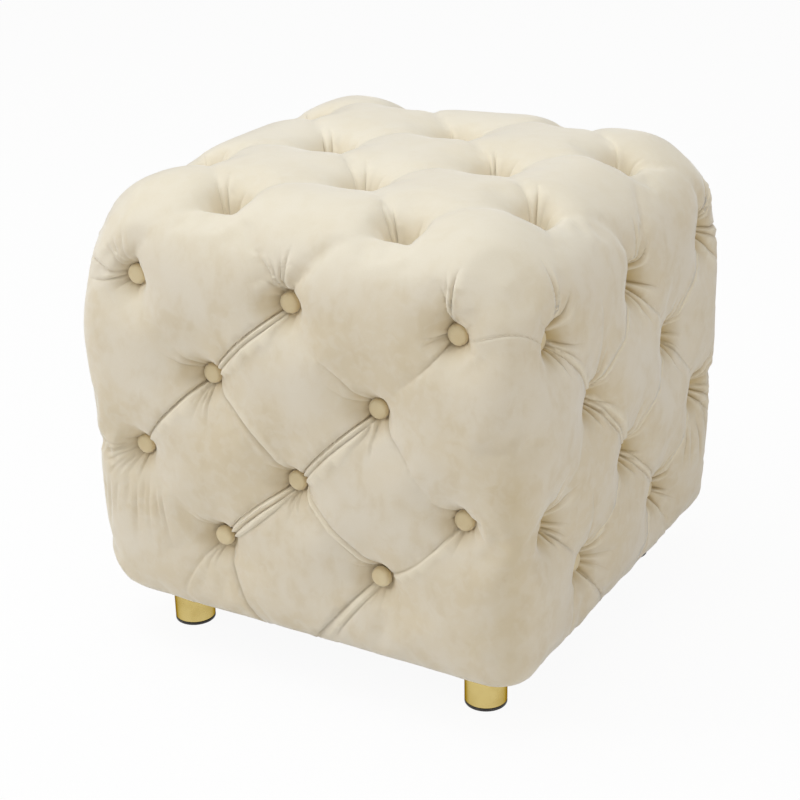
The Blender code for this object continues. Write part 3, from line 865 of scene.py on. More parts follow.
# Lines of each style: the share over which the first one dies out, then each line's distance from the first
# in ridges, its depth, which is below 0 for a ridge, its half width and the first one's lip
STYLE_LINES: dict[FoldStyle, tuple[float, tuple[tuple[float, ...], ...]]] = {
    FoldStyle.PLAIN: (0, ()),
    FoldStyle.TUCK: (0, ((0, 0.0024, 0.0009, 0.0014), (1.4, -0.0023, 0.0020))),
    FoldStyle.THIN: (0.1, ((0, 0.0022, 0.0008, 0.0009), (1.4, -0.00161, 0.0020))),
    FoldStyle.DOUBLE: (0, ((0, 0.0024, 0.0009, 0.0014), (1, -0.0023, 0.0017), (2, 0.00143, 0.0008),
                           (3.4, -0.0023, 0.0020))),
    FoldStyle.WIDE: (0, ((0, 0.0022, 0.0009, 0.0009), (1.2, -0.0034, 0.0022), (2.4, 0.0018, 0.0009),
                         (3.6, -0.00272, 0.0022), (4.8, 0.00144, 0.0009))),
    FoldStyle.SOFT: (0.2, ((0, 0.0018, 0.0009, 0.0009), (1.2, -0.00161, 0.0020), (2.4, 0.0018, 0.0009))),
    FoldStyle.FADING: (0.8, ((0, 0.0024, 0.0008, 0.0009),)),
    FoldStyle.RISING: (0.8, ((0, 0.0024, 0.0008, 0.0009),)),
}


# Folds of each side's skirt: start, end, bow, share over which it dies out, depth, half width and lip
SKIRT_FOLDS: tuple[tuple[Pair, Pair, float, float, float, float, float], ...] = (
    ((-0.93, 3.06), (-0.42, 4.02), 0.02, 0, 0.0022, 0.0008, 0),
    ((-1.06, 3.08), (-1.50, 3.95), 0.08, 0.6, 0.0018, 0.0018, 0),
    ((0.93, 3.06), (0.15, 4.02), 0.02, 0.2, 0.0018, 0.0008, 0.0009),
    ((0.98, 3.08), (0.25, 4.02), 0.02, 0.4, -0.0023, 0.0032, 0),
    ((1.02, 3.09), (0.36, 4.02), 0.03, 0.5, 0.0018, 0.0008, 0))


# Pleats that the front and the right side show: side, column, row and way to the next button, and bow
SEEN_PLEATS: dict[FoldStyle, dict[tuple[int, int, int, int], float]] = {
    FoldStyle.PLAIN: {(0, -2, 0, 1): 0.0, (0, 0, 0, 1): 0.0, (0, -2, 2, 1): 0.0, (1, -1, 1, -1): 0.0},
    FoldStyle.TUCK: {(0, -1, 1, -1): 0.02, (1, -2, 0, 1): 0.02, (1, 0, 0, -1): 0.04, (1, 2, 0, -1): 0.04,
                     (1, 1, 1, -1): 0.05, (1, 0, 2, -1): 0.06},
    FoldStyle.THIN: {(0, -1, 1, 1): -0.14, (0, 2, 2, -1): -0.08, (1, 2, 2, -1): 0.04},
    FoldStyle.DOUBLE: {(0, 0, 0, -1): 0.04, (0, 1, 1, -1): 0.03, (1, -1, 1, 1): 0.03},
    FoldStyle.WIDE: {(0, 0, 2, -1): 0.05},
    FoldStyle.SOFT: {(0, 0, 2, 1): -0.06, (1, 0, 2, 1): 0.02},
    FoldStyle.FADING: {(0, 2, 0, -1): -0.03, (0, 1, 1, 1): -0.05, (1, 0, 0, 1): 0.02, (1, 1, 1, 1): 0.02,
                       (1, -2, 2, 1): 0.03},
}


# Wrinkles at the photographed buttons: heading, spread, number, length and share of the usual depth
SEEN_FANS: dict[Strip, tuple[Fan, ...]] = {
    (0, -2, 0): ((-2.5, 2.0, 6, 0.42, 1.0),),
    (0, 0, 0): ((-1.88, 1.2, 4, 0.55, 1.8), (-2.9, 0.5, 2, 0.35, 1.0)),
    (0, 2, 0): ((-2.05, 0.75, 3, 0.55, 2.0), (2.9, 0.5, 2, 0.40, 1.2)),
    (0, -1, 1): ((-2.45, 0.5, 2, 0.62, 0.8), (1.85, 1.1, 4, 0.55, 1.3)),
    (0, 1, 1): ((-2.40, 0.35, 2, 0.78, 1.0), (1.6, 0.8, 3, 0.50, 1.2)),
    (0, -2, 2): ((2.9, 1.0, 4, 0.45, 0.7), (1.8, 0.9, 4, 0.60, 0.9)),
    (0, 0, 2): ((-2.5, 0.5, 2, 0.40, 0.8), (1.5, 0.8, 3, 0.50, 1.1), (0.15, 0.4, 2, 0.42, 1.0)),
    (0, 2, 2): ((-2.4, 0.4, 2, 0.50, 1.0), (2.0, 0.6, 2, 0.40, 0.6)),
    (0, -1, 3): ((-2.45, 0.3, 2, 0.62, 1.4), (1.9, 0.9, 3, 0.45, 0.7)),
    (0, 1, 3): ((-2.5, 0.4, 2, 0.40, 1.0), (1.7, 0.8, 3, 0.45, 0.7)),
}


# Long creases of the right side that end at a button: start, end and bow
SEEN_CREASES: tuple[tuple[Strip, Strip, float], ...] = (
    ((1, -1.10, -0.15), (1, -0.99, 0.90), -0.03), ((1, -1.22, 1.88), (1, -0.99, 2.90), -0.04))


@dataclass
class FoldPlan:
    """Lays the pleats from button to button, the wrinkles round the buttons and the corner seams."""

    seed: int = 11
    rim: float = 0.085
    rim_share: float = 0.95
    ridge: float = 0.038
    ridge_closing: float = 0.25
    fading_reach: float = 0.66
    wrinkle_depth: float = 0.0019
    wrinkle_width: float = 0.0010
    wrinkle_length: float = 0.20
    short_share: float = 0.7
    swell_share: float = 0.6
    swell_width: float = 0.0015
    fan_gap: float = 0.2
    drape_depth: float = 0.0026
    drape_width: float = 0.0018
    samples: int = 60
    folds: list[Fold] = field(default_factory=list)

    USUAL = (FoldStyle.TUCK, FoldStyle.DOUBLE, FoldStyle.SOFT, FoldStyle.THIN, FoldStyle.FADING,
             FoldStyle.RISING, FoldStyle.TUCK)
    PLEAT_BOW = 0.04
    BESIDE_ENDS = (0, 0.15)
    LONG_ENDS = (0.25, 0)
    LONG_CREASE = (0.0024, 0.0018, 0.0009)
    SEAM = (0.0010, 0.0008)
    SEAM_ENDS = (2.1, 2.9)
    SEAM_FADE = (0.15, 0.15)
    SEAM_RISE = 0.10
    WRINKLE_ENDS = (0.04, 0.85)
    WRINKLE_DEPTHS = (0.5, 1.2)
    WRINKLE_LENGTHS = (0.5, 1.0)
    WRINKLE_TURN = 0.12
    WRINKLE_BOW = 0.05
    SHORT_COUNTS = (5, 8)
    TOP_COUNT = 4
    UPPER_FAN = ((-1.57, 1.4, 4, 0.55, 1.2),)
    TOP_FAN = ((-2.25, 0.4, 2, 0.55, 1.4), (-1.15, 0.3, 1, 0.35, 0.8))
    RIGHT_FANS = ((-0.95, 1.0, 3, 0.65, 1.8), (0.65, 1.0, 3, 0.70, 1.8))
    SMOOTH_SKIRTS = ((0, 2), (1, -2))
    DRAPES = 9
    DRAPE_STEP = 0.08
    DRAPE_SPREAD = 1.4
    DRAPE_ENDS = (0.35, 0.6)
    DRAPE_ROWS = ((2.22, 0.15), (2.9, 0.5))
    DRAPE_DEPTHS = (0.5, 1.0)
    DRAPE_SWAY = 0.02

    def lay(self, start: Strip, end: Strip, bow: float, ends: Pair, depth: float, width: float,
            lip: float = 0.0) -> None:
        """Lay one crease between two places of a strip.

        Args:
            start: Where it starts.
            end: Where it ends.
            bow: How far its middle bends aside, in columns.
            ends: Shares of its length over which it dies out at each end.
            depth: Depth of the groove; a ridge's is negative.
            width: Half width of the groove.
            lip: Height by which the velvet on one side stands over the other.
        """
        share = np.linspace(0, 1, self.samples)
        first, last = np.array(start, float), np.array(end, float)
        way = last[1:] - first[1:]
        aside = np.array([-way[1], way[0]]) / np.linalg.norm(way)
        strip = first + (last - first) * share[:, None]
        strip[:, 1:] += aside * (bow * np.sin(math.pi * share))[:, None]
        strength = np.ones(self.samples)
        for fade, along in zip(ends, (share, 1 - share)):
            if fade > 0:
                strength *= eased(along / fade)
        self.folds.append(Fold(strip, strength, depth, width, lip))

    def pleat(self, start: Strip, end: Strip, style: FoldStyle, bow: float) -> None:
        """Lay the velvet between two buttons.

        Args:
            start: The upper button.
            end: The lower button.
            style: How it is laid.
            bow: How far its middle bends aside, in columns.
        """
        if style is FoldStyle.RISING:
            start, end, bow = end, start, -bow
        first, last = np.array(start, float), np.array(end, float)
        step = (last - first) / np.linalg.norm(last[1:] - first[1:]) * self.rim
        begin, finish = first + step, last - step
        if style in (FoldStyle.FADING, FoldStyle.RISING):
            finish = first + (last - first) * self.fading_reach
        fading, lines = STYLE_LINES[style]
        for place, *line in lines:
            if place == 0:
                self.lay(tuple(begin), tuple(finish), bow, (0, fading), *line)
            else:
                self.beside(first, last, bow, place, *line)

    def beside(self, first: Array, last: Array, bow: float, place: float, depth: float, width: float) -> None:
        """Lay a further crease or ridge below a pleat, from the one button's rim to the other's.

        Args:
            first: The button that it leaves.
            last: The button that it runs towards.
            bow: The pleat's own bow.
            place: Its distance from the pleat, in ridges.
            depth: Depth of the crease; a ridge's is negative.
            width: Half width of the crease.
        """
        way = unit(last[1:] - first[1:])
        aside = np.array([way[1], -way[0]])
        most = self.rim_share * self.rim
        places = []
        for button, turn, apart in ((first, 1, 1.0), (last, -1, 1 - self.ridge_closing)):
            off = min(place * self.ridge * apart, most)
            ahead = way * turn * math.sqrt(self.rim ** 2 - off ** 2)
            places.append((button[0], *(button[1:] + ahead + aside * off)))
        spread = max(place * self.ridge - most, 0.0)
        self.lay(*places, bow - spread, self.BESIDE_ENDS, depth, width)

    def fan(self, button: Strip, fan: Fan, draw: Draws, taken: Sequence[Fan] = ()) -> None:
        """Lay wrinkles that spread from a button, with the velvet swelling a little beside each.

        Args:
            button: The button.
            fan: Their middle heading in radians, which is 0 along the columns and a quarter turn down, the
                angle over which they spread, their number, the longest one's length in columns and the share
                of their usual depth.
            draw: Source of the small differences between wrinkles.
            taken: The button's other wrinkles, which these stay out of.
        """
        side, column, row = button
        heading, spread, count, length, share = fan
        middle, turn = np.array([column, row]), 0.5 * spread / count
        for number in range(count):
            angle = heading + spread * ((number + 0.5) / count - 0.5)
            angle += draw.uniform(-self.WRINKLE_TURN, self.WRINKLE_TURN)
            reach = length * draw.uniform(*self.WRINKLE_LENGTHS)
            bow = draw.uniform(-self.WRINKLE_BOW, self.WRINKLE_BOW)
            depth = self.wrinkle_depth * draw.uniform(*self.WRINKLE_DEPTHS) * share
            if any(abs(math.remainder(angle - other[0], math.tau)) < 0.5 * other[1] + self.fan_gap
                   for other in taken):
                continue
            for off, height, width in ((0, depth, self.wrinkle_width),
                                       (turn, -depth * self.swell_share, self.swell_width)):
                ray = np.array([math.cos(angle + off), math.sin(angle + off)])
                start, end = middle + ray * self.rim, middle + ray * (self.rim + reach)
                self.lay((side, *start), (side, *end), bow, self.WRINKLE_ENDS, height, width)

    def row_pleats(self, side: int, row: int, draw: Draws) -> None:
        """Lay the pleats from one row's buttons to those of the row below.

        Args:
            side: Number of the side.
            row: The upper row.
            draw: Source of the pleats that the photograph doesn't show.
        """
        for column in Lattice.columns(row):
            for way in (-1, 1):
                style = self.USUAL[draw.randint(len(self.USUAL))]
                bow = draw.uniform(-self.PLEAT_BOW, self.PLEAT_BOW)
                for seen, bows in SEEN_PLEATS.items():
                    if (side, column, row, way) in bows:
                        style, bow = seen, bows[side, column, row, way]
                if abs(column + way) <= Lattice.REACH:
                    self.pleat((side, column, row), (side, column + way, row + 1), style, bow)

    def skirt(self, side: int, draw: Draws) -> None:
        """Lay the folds from the lowest buttons to the bottom edge, and the soft drapes beside them.

        Args:
            side: Number of the side.
            draw: Source of the small differences between drapes.
        """
        for start, end, bow, fading, *line in SKIRT_FOLDS:
            self.lay((side, *start), (side, *end), bow, (0, fading), *line)
        for column in (-2, 2):
            smooth = (side, column) in self.SMOOTH_SKIRTS
            for number in range(self.DRAPES):
                across = column + self.DRAPE_STEP * (number - self.DRAPES // 2)
                across += draw.uniform(-self.DRAPE_SWAY, self.DRAPE_SWAY)
                high, low = (row + draw.uniform(0, change) for row, change in self.DRAPE_ROWS)
                depth = self.drape_depth * draw.uniform(*self.DRAPE_DEPTHS)
                if not smooth and (side == Side.FRONT.value or number % 2 == 0):
                    foot = column + (across - column) * self.DRAPE_SPREAD
                    bow = draw.uniform(-self.PLEAT_BOW, self.PLEAT_BOW)
                    self.lay((side, across, high), (side, foot, low), bow, self.DRAPE_ENDS, depth,
                             self.drape_width)

    def plan(self) -> list[Fold]:
        """Lay every crease of the cover.

        Returns:
            The creases.
        """
        draw = Draws(self.seed)
        fans: Sequence[Fan]
        for start, end, bow in SEEN_CREASES:
            self.lay(start, end, bow, self.LONG_ENDS, *self.LONG_CREASE)
        for side in range(4):
            for row in range(3):
                self.row_pleats(side, row, draw)
            self.skirt(side, draw)
            first, last = ((side, column, 0) for column in self.SEAM_ENDS)
            self.lay(first, last, -self.SEAM_RISE, self.SEAM_FADE, *self.SEAM)
        for button in Lattice.buttons():
            on_top = button[2] < 0
            fans = self.UPPER_FAN if button[2] == 0 else ()
            fans = self.TOP_FAN if on_top else self.RIGHT_FANS if button[0] == Side.RIGHT.value else fans
            fans = SEEN_FANS.get(button, fans)
            heading = draw.uniform(0, math.tau)
            count = self.TOP_COUNT if on_top else draw.randint(*self.SHORT_COUNTS)
            self.fan(button, (heading, math.tau, count, self.wrinkle_length, self.short_share), draw, fans)
            for fan in fans:
                self.fan(button, fan, draw)
        return self.folds


class Crowd:
    """Keeps places of a chart that lie far enough from those chosen before."""

    def __init__(self, cell: float) -> None:
        """Start with no places, in cells of the given size."""
        self.cell = cell
        self.places: list[Pair] = []
        self.cells: dict[tuple[int, int], list[int]] = {}

    def add(self, places: Array, gap: float) -> None:
        """Add those of the places that lie at least a gap from every chosen one.

        Args:
            places: Places to try, in order.
            gap: Least distance to those that are there.
        """
        span = int(math.ceil(gap / self.cell))
        for across, down in places.tolist():
            home = (int(across // self.cell), int(down // self.cell))
            near = (self.places[index] for i in range(home[0] - span, home[0] + span + 1)
                    for j in range(home[1] - span, home[1] + span + 1)
                    for index in self.cells.get((i, j), ()))
            if gap and any((x - across) ** 2 + (y - down) ** 2 < gap * gap for x, y in near):
                continue
            self.cells.setdefault(home, []).append(len(self.places))
            self.places.append((across, down))


def triangulate(places: Array) -> Array:
    """Cut flat places into Delaunay triangles.

    Args:
        places: The places.

    Returns:
        Triangles that turn left.
    """
    flat = [Vector(place) for place in (places * MILLIMETRES).tolist()]
    _, _, faces, origins, _, _ = geometry.delaunay_2d_cdt(flat, [], [], 0, MERGED)
    first = np.array([origin[0] for origin in origins])
    triangles = first[np.array(faces)]
    a, b, c = (places[triangles[:, i]] for i in range(3))
    left = (b[:, 0] - a[:, 0]) * (c[:, 1] - a[:, 1]) - (b[:, 1] - a[:, 1]) * (c[:, 0] - a[:, 0])
    triangles[left < 0] = triangles[left < 0][:, ::-1]
    return triangles[np.abs(left) > LEAST_AREA]


def vertex_normals(points: Array, triangles: Array) -> Array:
    """Find the directions out of a mesh at its points.

    Args:
        points: The mesh's points.
        triangles: Its triangles.

    Returns:
        One direction for each point.
    """
    a, b, c = (points[triangles[:, i]] for i in range(3))
    face = np.cross(b - a, c - a)
    total = np.zeros_like(points)
    for i in range(3):
        np.add.at(total, triangles[:, i], face)
    return unit(total)


@dataclass
class CoverMesh:
    """Cuts the cover into triangles that follow its creases, presses them in and closes the cover."""

    block: Block
    skin: Skin
    rim_step: float = 0.0025
    pleat_step: float = 0.0016
    wrinkle_step: float = 0.0020
    open_step: float = 0.0056
    open_margin: float = 0.4
    open_gap: float = 0.55
    least_gap: float = 0.00075
    ring_gap: float = 0.0015
    ring_radii: tuple[float, ...] = (0.0068, 0.0086, 0.0104, 0.0124, 0.0146, 0.0170, 0.0200, 0.0235)
    ring_points: int = 36
    floor_room: float = 0.0012
    eased_reach: float = 0.030
    eased_rounds: int = 60
    eased_rate: float = 0.6
    fold_offsets: tuple[float, ...] = (0.0, -0.9, 0.9, -2.0, 2.0)
    groove_reach: float = 4.0
    over_width: float = 0.009
    under_width: float = 0.005
    under_share: float = 0.4
    hem_half_width: float = 0.1772
    hem_levels: Pair = (0.0418, 0.0435)
    hem_rooms: Pair = (0.0030, 0.0015)
    tuck_shares: tuple[float, ...] = (0.0, 0.15, 0.35, 0.6, 1.0)
    points: Array = field(init=False)
    triangles: Array = field(init=False)
    border: Array = field(init=False)
    on_top: Array = field(init=False)
    places: Array = field(init=False)

    def ring_places(self) -> tuple[Array, Array]:
        """Chart places of the mesh points on rings round the buttons.

        Returns:
            True for each place on the top chart, and the chart places.
        """
        angle = np.arange(self.ring_points) / self.ring_points * math.tau
        circle = np.column_stack([np.zeros_like(angle), np.cos(angle), np.sin(angle)])
        rows = [np.array(button, float) + circle * radius / self.block.cell
                for button in Lattice.buttons() for radius in self.ring_radii]
        return self.block.locate(np.concatenate(rows))

    def fold_places(self, folds: list[Fold]) -> tuple[Array, Array]:
        """Chart places of the mesh points along the creases.

        Args:
            folds: The creases.

        Returns:
            True for each place on the top chart, and the chart places.
        """
        rows = []
        for fold in sorted(folds, key=lambda fold: -fold.lip):
            way = np.gradient(fold.strip[:, 1:], axis=0)
            length = lengths(way).sum() * self.block.cell
            whole = np.arange(len(fold.strip))
            step = self.pleat_step if fold.lip else self.wrinkle_step
            pick = np.linspace(0, whole[-1], max(int(length / step), 3))
            strip = np.stack([np.interp(pick, whole, fold.strip[:, i]) for i in range(3)], axis=1)
            across, down = (np.interp(pick, whole, way[:, i]) for i in range(2))
            aside = unit(np.stack([-down, across], axis=1))
            for offset in self.fold_offsets if fold.depth > 0 else (0.0,):
                moved = strip.copy()
                moved[:, 1:] += aside * offset * fold.width / self.block.cell
                rows.append(moved)
        return self.block.locate(np.concatenate(rows))

    def chart_places(self, border: Array, crease_shade: Array, ringed: Array, high: Array) -> Array:
        """Choose the mesh points of one chart.

        Args:
            border: Places on the chart's border, which all stay.
            crease_shade: Places along the creases, which stay where they aren't crowded.
            ringed: Places round the buttons, which stay where they aren't crowded.
            high: The chart's far corner.

        Returns:
            The chosen places, the border first.
        """
        step = self.open_step
        across = np.arange(step / 2, high[0], step)
        down = np.arange(step / 2, high[1], step * math.sqrt(3) / 2)
        spare = np.stack(np.meshgrid(across, down, indexing="xy"), axis=-1)
        spare[1::2, :, 0] += step / 2
        chosen = Crowd(self.least_gap)
        chosen.add(border, 0.0)
        for places, margin, gap in ((crease_shade, self.least_gap, self.least_gap),
                                    (ringed, self.least_gap, self.ring_gap),
                                    (spare.reshape(-1, 2), step * self.open_margin, step * self.open_gap)):
            inside = np.all((places > margin) & (places < high - margin), axis=1)
            chosen.add(places[inside], gap)
        return np.array(chosen.places)

    def cut(self, folds: list[Fold]) -> None:
        """Triangulate both charts, and join them along the mitre and where the wrap meets itself.

        Args:
            folds: The creases.
        """
        on_top, crease_shade = self.fold_places(folds)
        ring_on_top, ringed = self.ring_places()
        length, depth = self.block.side_length, self.block.wrap_depth
        steps = round(length / self.rim_step)
        rim = np.linspace(0, 4 * length, 4 * steps + 1)
        down = np.linspace(0, depth, round(depth / self.rim_step) + 1)[1:-1]
        edges = [np.stack(pair, axis=1) for pair in
                 ((rim, np.zeros_like(rim)), (rim, np.full_like(rim, depth)),
                  (np.zeros_like(down), down), (np.full_like(down, 4 * length), down))]
        wrap = self.chart_places(np.concatenate(edges), crease_shade[~on_top], ringed[~ring_on_top],
                                 np.array([4 * length, depth]))
        count, falls = len(rim), len(down)
        same = np.arange(len(wrap))
        same[count - 1], same[2 * count - 1] = 0, count
        same[2 * count + falls:2 * count + 2 * falls] = np.arange(2 * count, 2 * count + falls)
        side = np.linspace(0, length, steps + 1)[:-1]
        zero, full = np.zeros_like(side), np.full_like(side, length)
        square = [np.stack(pair, axis=1) for pair in
                  ((side, zero), (full, side), (length - side, full), (zero, length - side))]
        lid = self.chart_places(np.concatenate(square), crease_shade[on_top], ringed[ring_on_top],
                                np.array([length, length]))
        lid_same = np.arange(len(lid)) + len(wrap)
        lid_same[:4 * steps] = np.arange(4 * steps)
        triangles = np.concatenate([same[triangulate(wrap)][:, ::-1], lid_same[triangulate(lid)]])
        used, triangles = np.unique(triangles, return_inverse=True)
        renumber = np.full(len(wrap) + len(lid), -1)
        renumber[used] = np.arange(len(used))
        self.triangles = triangles.reshape(-1, 3)
        self.border = renumber[np.arange(count, 2 * count - 1)]
        self.on_top = (np.arange(len(renumber)) >= len(wrap))[used]
        self.places = np.concatenate([wrap, lid])[used]
        self.points = self.skin.sample(self.on_top, self.places)

    def press(self, folds: list[Fold]) -> tuple[Array, Array]:
        """Press the creases into the cover.

        Args:
            folds: The creases.

        Returns:
            Depth of the groove and height of the ridge at each point.
        """
        self.ease_corners()
        points, out = self.points, vertex_normals(self.points, self.triangles)
        groove, roll, ridge = (np.zeros(len(points)) for _ in range(3))
        for fold in folds:
            line = self.skin.at(fold.strip)
            reach = 3 * self.over_width if fold.lip else self.groove_reach * fold.width
            near = np.flatnonzero(close_to(points, line, reach))
            gap = points[near, None] - line[None]
            apart = lengths(gap)
            rows, pick = np.arange(len(near)), apart.argmin(1)
            gap, strength = gap[rows, pick], fold.strength[pick]
            tangent = unit(np.gradient(line, axis=0))[pick]
            along = np.einsum("ij,ij->i", gap, tangent)
            beyond = ((pick == 0) & (along < 0)) | ((pick == len(line) - 1) & (along > 0))
            distance = lengths(gap - tangent * np.where(beyond, 0, along)[:, None])
            aside = unit(np.cross(tangent, out[near]))
            offset = np.einsum("ij,ij->i", gap, aside)
            depth = strength * fold.depth * bell(distance / fold.width)
            groove[near] = np.maximum(groove[near], depth)
            ridge[near] = np.maximum(ridge[near], -depth)
            if fold.lip:
                over = np.exp(-np.maximum(distance - fold.width, 0) / self.over_width)
                under = -self.under_share * np.exp(-distance / self.under_width)
                step = strength * fold.lip * np.where(offset > 0, over, under)
                roll[near] = np.where(np.abs(step) > np.abs(roll[near]), step, roll[near])
        self.points = points + out * (roll + ridge - groove)[:, None]
        self.keep_off_foam()
        return groove, ridge

    def ease_corners(self) -> None:
        """Smooth the cover where the top and two sides meet."""
        corners = self.skin.sample(np.full(4, True), np.array([(i, j) for i in (0, 1) for j in (0, 1)])
                                   * self.block.side_length)
        apart = lengths(self.points[:, None] - corners[None]).min(1)
        weight = eased(2 * (1 - apart / self.eased_reach))[:, None]
        near = self.triangles[(weight[self.triangles, 0] > 0).any(1)]
        ways = np.unique(np.concatenate([near[:, [0, 1]], near[:, [1, 2]], near[:, [2, 0]]]), axis=0)
        count = np.maximum(np.bincount(ways[:, 0], minlength=len(self.points)), 1)[:, None]
        for _ in range(self.eased_rounds):
            total = np.zeros_like(self.points)
            np.add.at(total, ways[:, 0], self.points[ways[:, 1]])
            self.points += (total / count - self.points) * weight * self.eased_rate

    def keep_off_foam(self) -> None:
        """Lift points that the creases press below the seats of the buttons."""
        lattice, points = self.block.lattice, self.points
        side_floor, top_floor = lattice.side_seat - self.floor_room, lattice.top_seat - self.floor_room
        axis, rows = np.abs(points[:, :2]).argmax(1), np.arange(len(points))
        place = points[rows, axis]
        within, below = side_floor - np.abs(place), top_floor - points[:, 2]
        sunk = (within > 0) & (below > 0)
        for off, reach in ((below, CORNER_REACH), (points[:, 2] - self.block.bottom, FOOT_REACH)):
            corner = np.column_stack([np.abs(points[:, :2]) - side_floor, off])
            sunk &= lengths(corner) > reach
        aside, up = sunk & (within <= below), sunk & (within > below)
        points[rows[aside], axis[aside]] = np.sign(place[aside]) * side_floor
        points[up, 2] = top_floor

    def close(self) -> Shell:
        """Turn the bottom edge under, and close the cover along the foam.

        Returns:
            All points, and all faces.
        """
        rim = self.points[self.border]
        reach = np.abs(rim[:, :2]).max(1)
        square = rim[:, :2] / reach[:, None]
        hem_low, hem_high = self.hem_levels
        inner, inner_top = self.block.inner, self.block.inner_top
        turned_in, closed = (reach - room for room in self.hem_rooms)
        hem = np.minimum(self.hem_half_width, turned_in)
        outline = [(hem, hem_low), (hem, hem_high), (np.minimum(inner, closed), hem_high)]
        outline.append((inner, hem_high + FOOT_RISE))
        outline += [(inner, inner_top - CORNER_REACH * share) for share in self.tuck_shares[::-1]]
        outline += [(inner - CORNER_REACH * share, inner_top) for share in self.tuck_shares[1:]]
        points, faces = [self.points], self.triangles.tolist()
        last, total = self.border, len(self.points)
        for half_width, level in outline:
            half_widths = np.broadcast_to(half_width, reach.shape)[:, None]
            ring = np.column_stack([square * half_widths, np.full(len(square), level)])
            points.append(tucked(ring, inner, inner_top))
            ring = np.arange(total, total + len(square))
            faces += np.stack([last, ring, np.roll(ring, -1), np.roll(last, -1)], axis=1).tolist()
            last, total = ring, total + len(square)
        points.append(np.array([[0, 0, inner_top]]))
        faces += np.stack([last, np.full(len(last), total), np.roll(last, -1)], axis=1).tolist()
        return np.concatenate(points), faces


class NodeBench:
    """Short ways to add nodes to a node tree."""

    def __init__(self, tree: bpy.types.NodeTree) -> None:
        """Start with the nodes that are there."""
        self.tree = tree

    def fill(self, node: bpy.types.Node, inputs: Inputs) -> None:
        """Set a node's sockets to values, or link them to other sockets.

        Args:
            node: The node.
            inputs: Values or sockets for its inputs.
        """
        for key, value in inputs.items():
            if isinstance(value, Socket):
                self.tree.links.new(value, node.inputs[key])
            else:
                node.inputs[key].default_value = value

    def add(self, kind: str, inputs: Inputs, **settings: object) -> bpy.types.Node:
        """Add a node.

        Args:
            kind: The node's type.
            inputs: Values or sockets for its inputs.
            settings: The node's own settings.

        Returns:
            The node.
        """
        node = self.tree.nodes.new(kind)
        for key, value in settings.items():
            setattr(node, key, value)
        self.fill(node, inputs)
        return node

    def reckon(self, operation: str, first: Socket, second: Socket | float) -> Socket:
        """Join two values by arithmetic."""
        return self.add("ShaderNodeMath", {0: first, 1: second}, operation=operation).outputs[0]

    def seen_directly(self) -> Socket:
        """A share that is 1 for rays from the camera and from glossy or clear surfaces."""
        rays = self.add("ShaderNodeLightPath", {}).outputs
        share = self.reckon("MAXIMUM", rays["Is Camera Ray"], rays["Is Glossy Ray"])
        return self.reckon("MAXIMUM", share, rays["Is Transmission Ray"])

    def show(self, output: str, share: Socket, first: Socket, second: Socket) -> None:
        """Show a mix of two shaders."""
        mixed = self.add("ShaderNodeMixShader", {0: share, 1: first, 2: second})
        self.fill(self.tree.nodes[output], {"Surface": mixed.outputs[0]})


class Paintbox(NodeBench):
    """A new node material, with short ways to paint it."""

    def __init__(self, name: str) -> None:
        """Start with a plain shader."""
        self.material = bpy.data.materials.new(name)
        self.material.use_nodes = True
        super().__init__(self.material.node_tree)
        self.shader = self.tree.nodes["Principled BSDF"]

    def place(self, stretch: Sequence[float] = (1, 1, 1)) -> Socket:
        """Places on the object in metres, stretched along its axes."""
        spot = self.add("ShaderNodeTexCoord", {}).outputs["Object"]
        return self.add("ShaderNodeMapping", {"Vector": spot, "Scale": tuple(stretch)}).outputs["Vector"]

    def cloud(self, scale: float, detail: float = 2.0, stretch: Sequence[float] = (1, 1, 1),
              distortion: float = 0.0) -> Socket:
        """Cloudy noise; its scale is in clouds per metre."""
        inputs = {"Vector": self.place(stretch), "Scale": scale, "Detail": detail, "Distortion": distortion}
        return self.add("ShaderNodeTexNoise", inputs).outputs["Fac"]

    def span(self, value: Socket, low: float, high: float, start: float = 0.0, end: float = 1.0) -> Socket:
        """Carry a range of values onto another one."""
        inputs = {"Value": value, "From Min": low, "From Max": high, "To Min": start, "To Max": end}
        node = self.add("ShaderNodeMapRange", inputs, interpolation_type="SMOOTHSTEP")
        return node.outputs["Result"]

    def blend(self, share: Socket, first: Colour | Socket, second: Colour | Socket) -> Socket:
        """Mix two colours."""
        colours = [value if isinstance(value, Socket) else (*value, 1.0) for value in (first, second)]
        node = self.add("ShaderNodeMix", {0: share, 6: colours[0], 7: colours[1]}, data_type="RGBA")
        return node.outputs[2]

    def bump(self, height: Socket, strength: float, distance: float, under: Socket | None = None) -> Socket:
        """Raise the surface by a height map, over another bump where one is given."""
        inputs: Inputs = {"Height": height, "Strength": strength, "Distance": distance}
        if under is not None:
            inputs["Normal"] = under
        return self.add("ShaderNodeBump", inputs).outputs["Normal"]

    def finish(self, inputs: Inputs) -> Material:
        """Set the shader's own sockets, and return the material."""
        self.fill(self.shader, inputs)
        return self.material


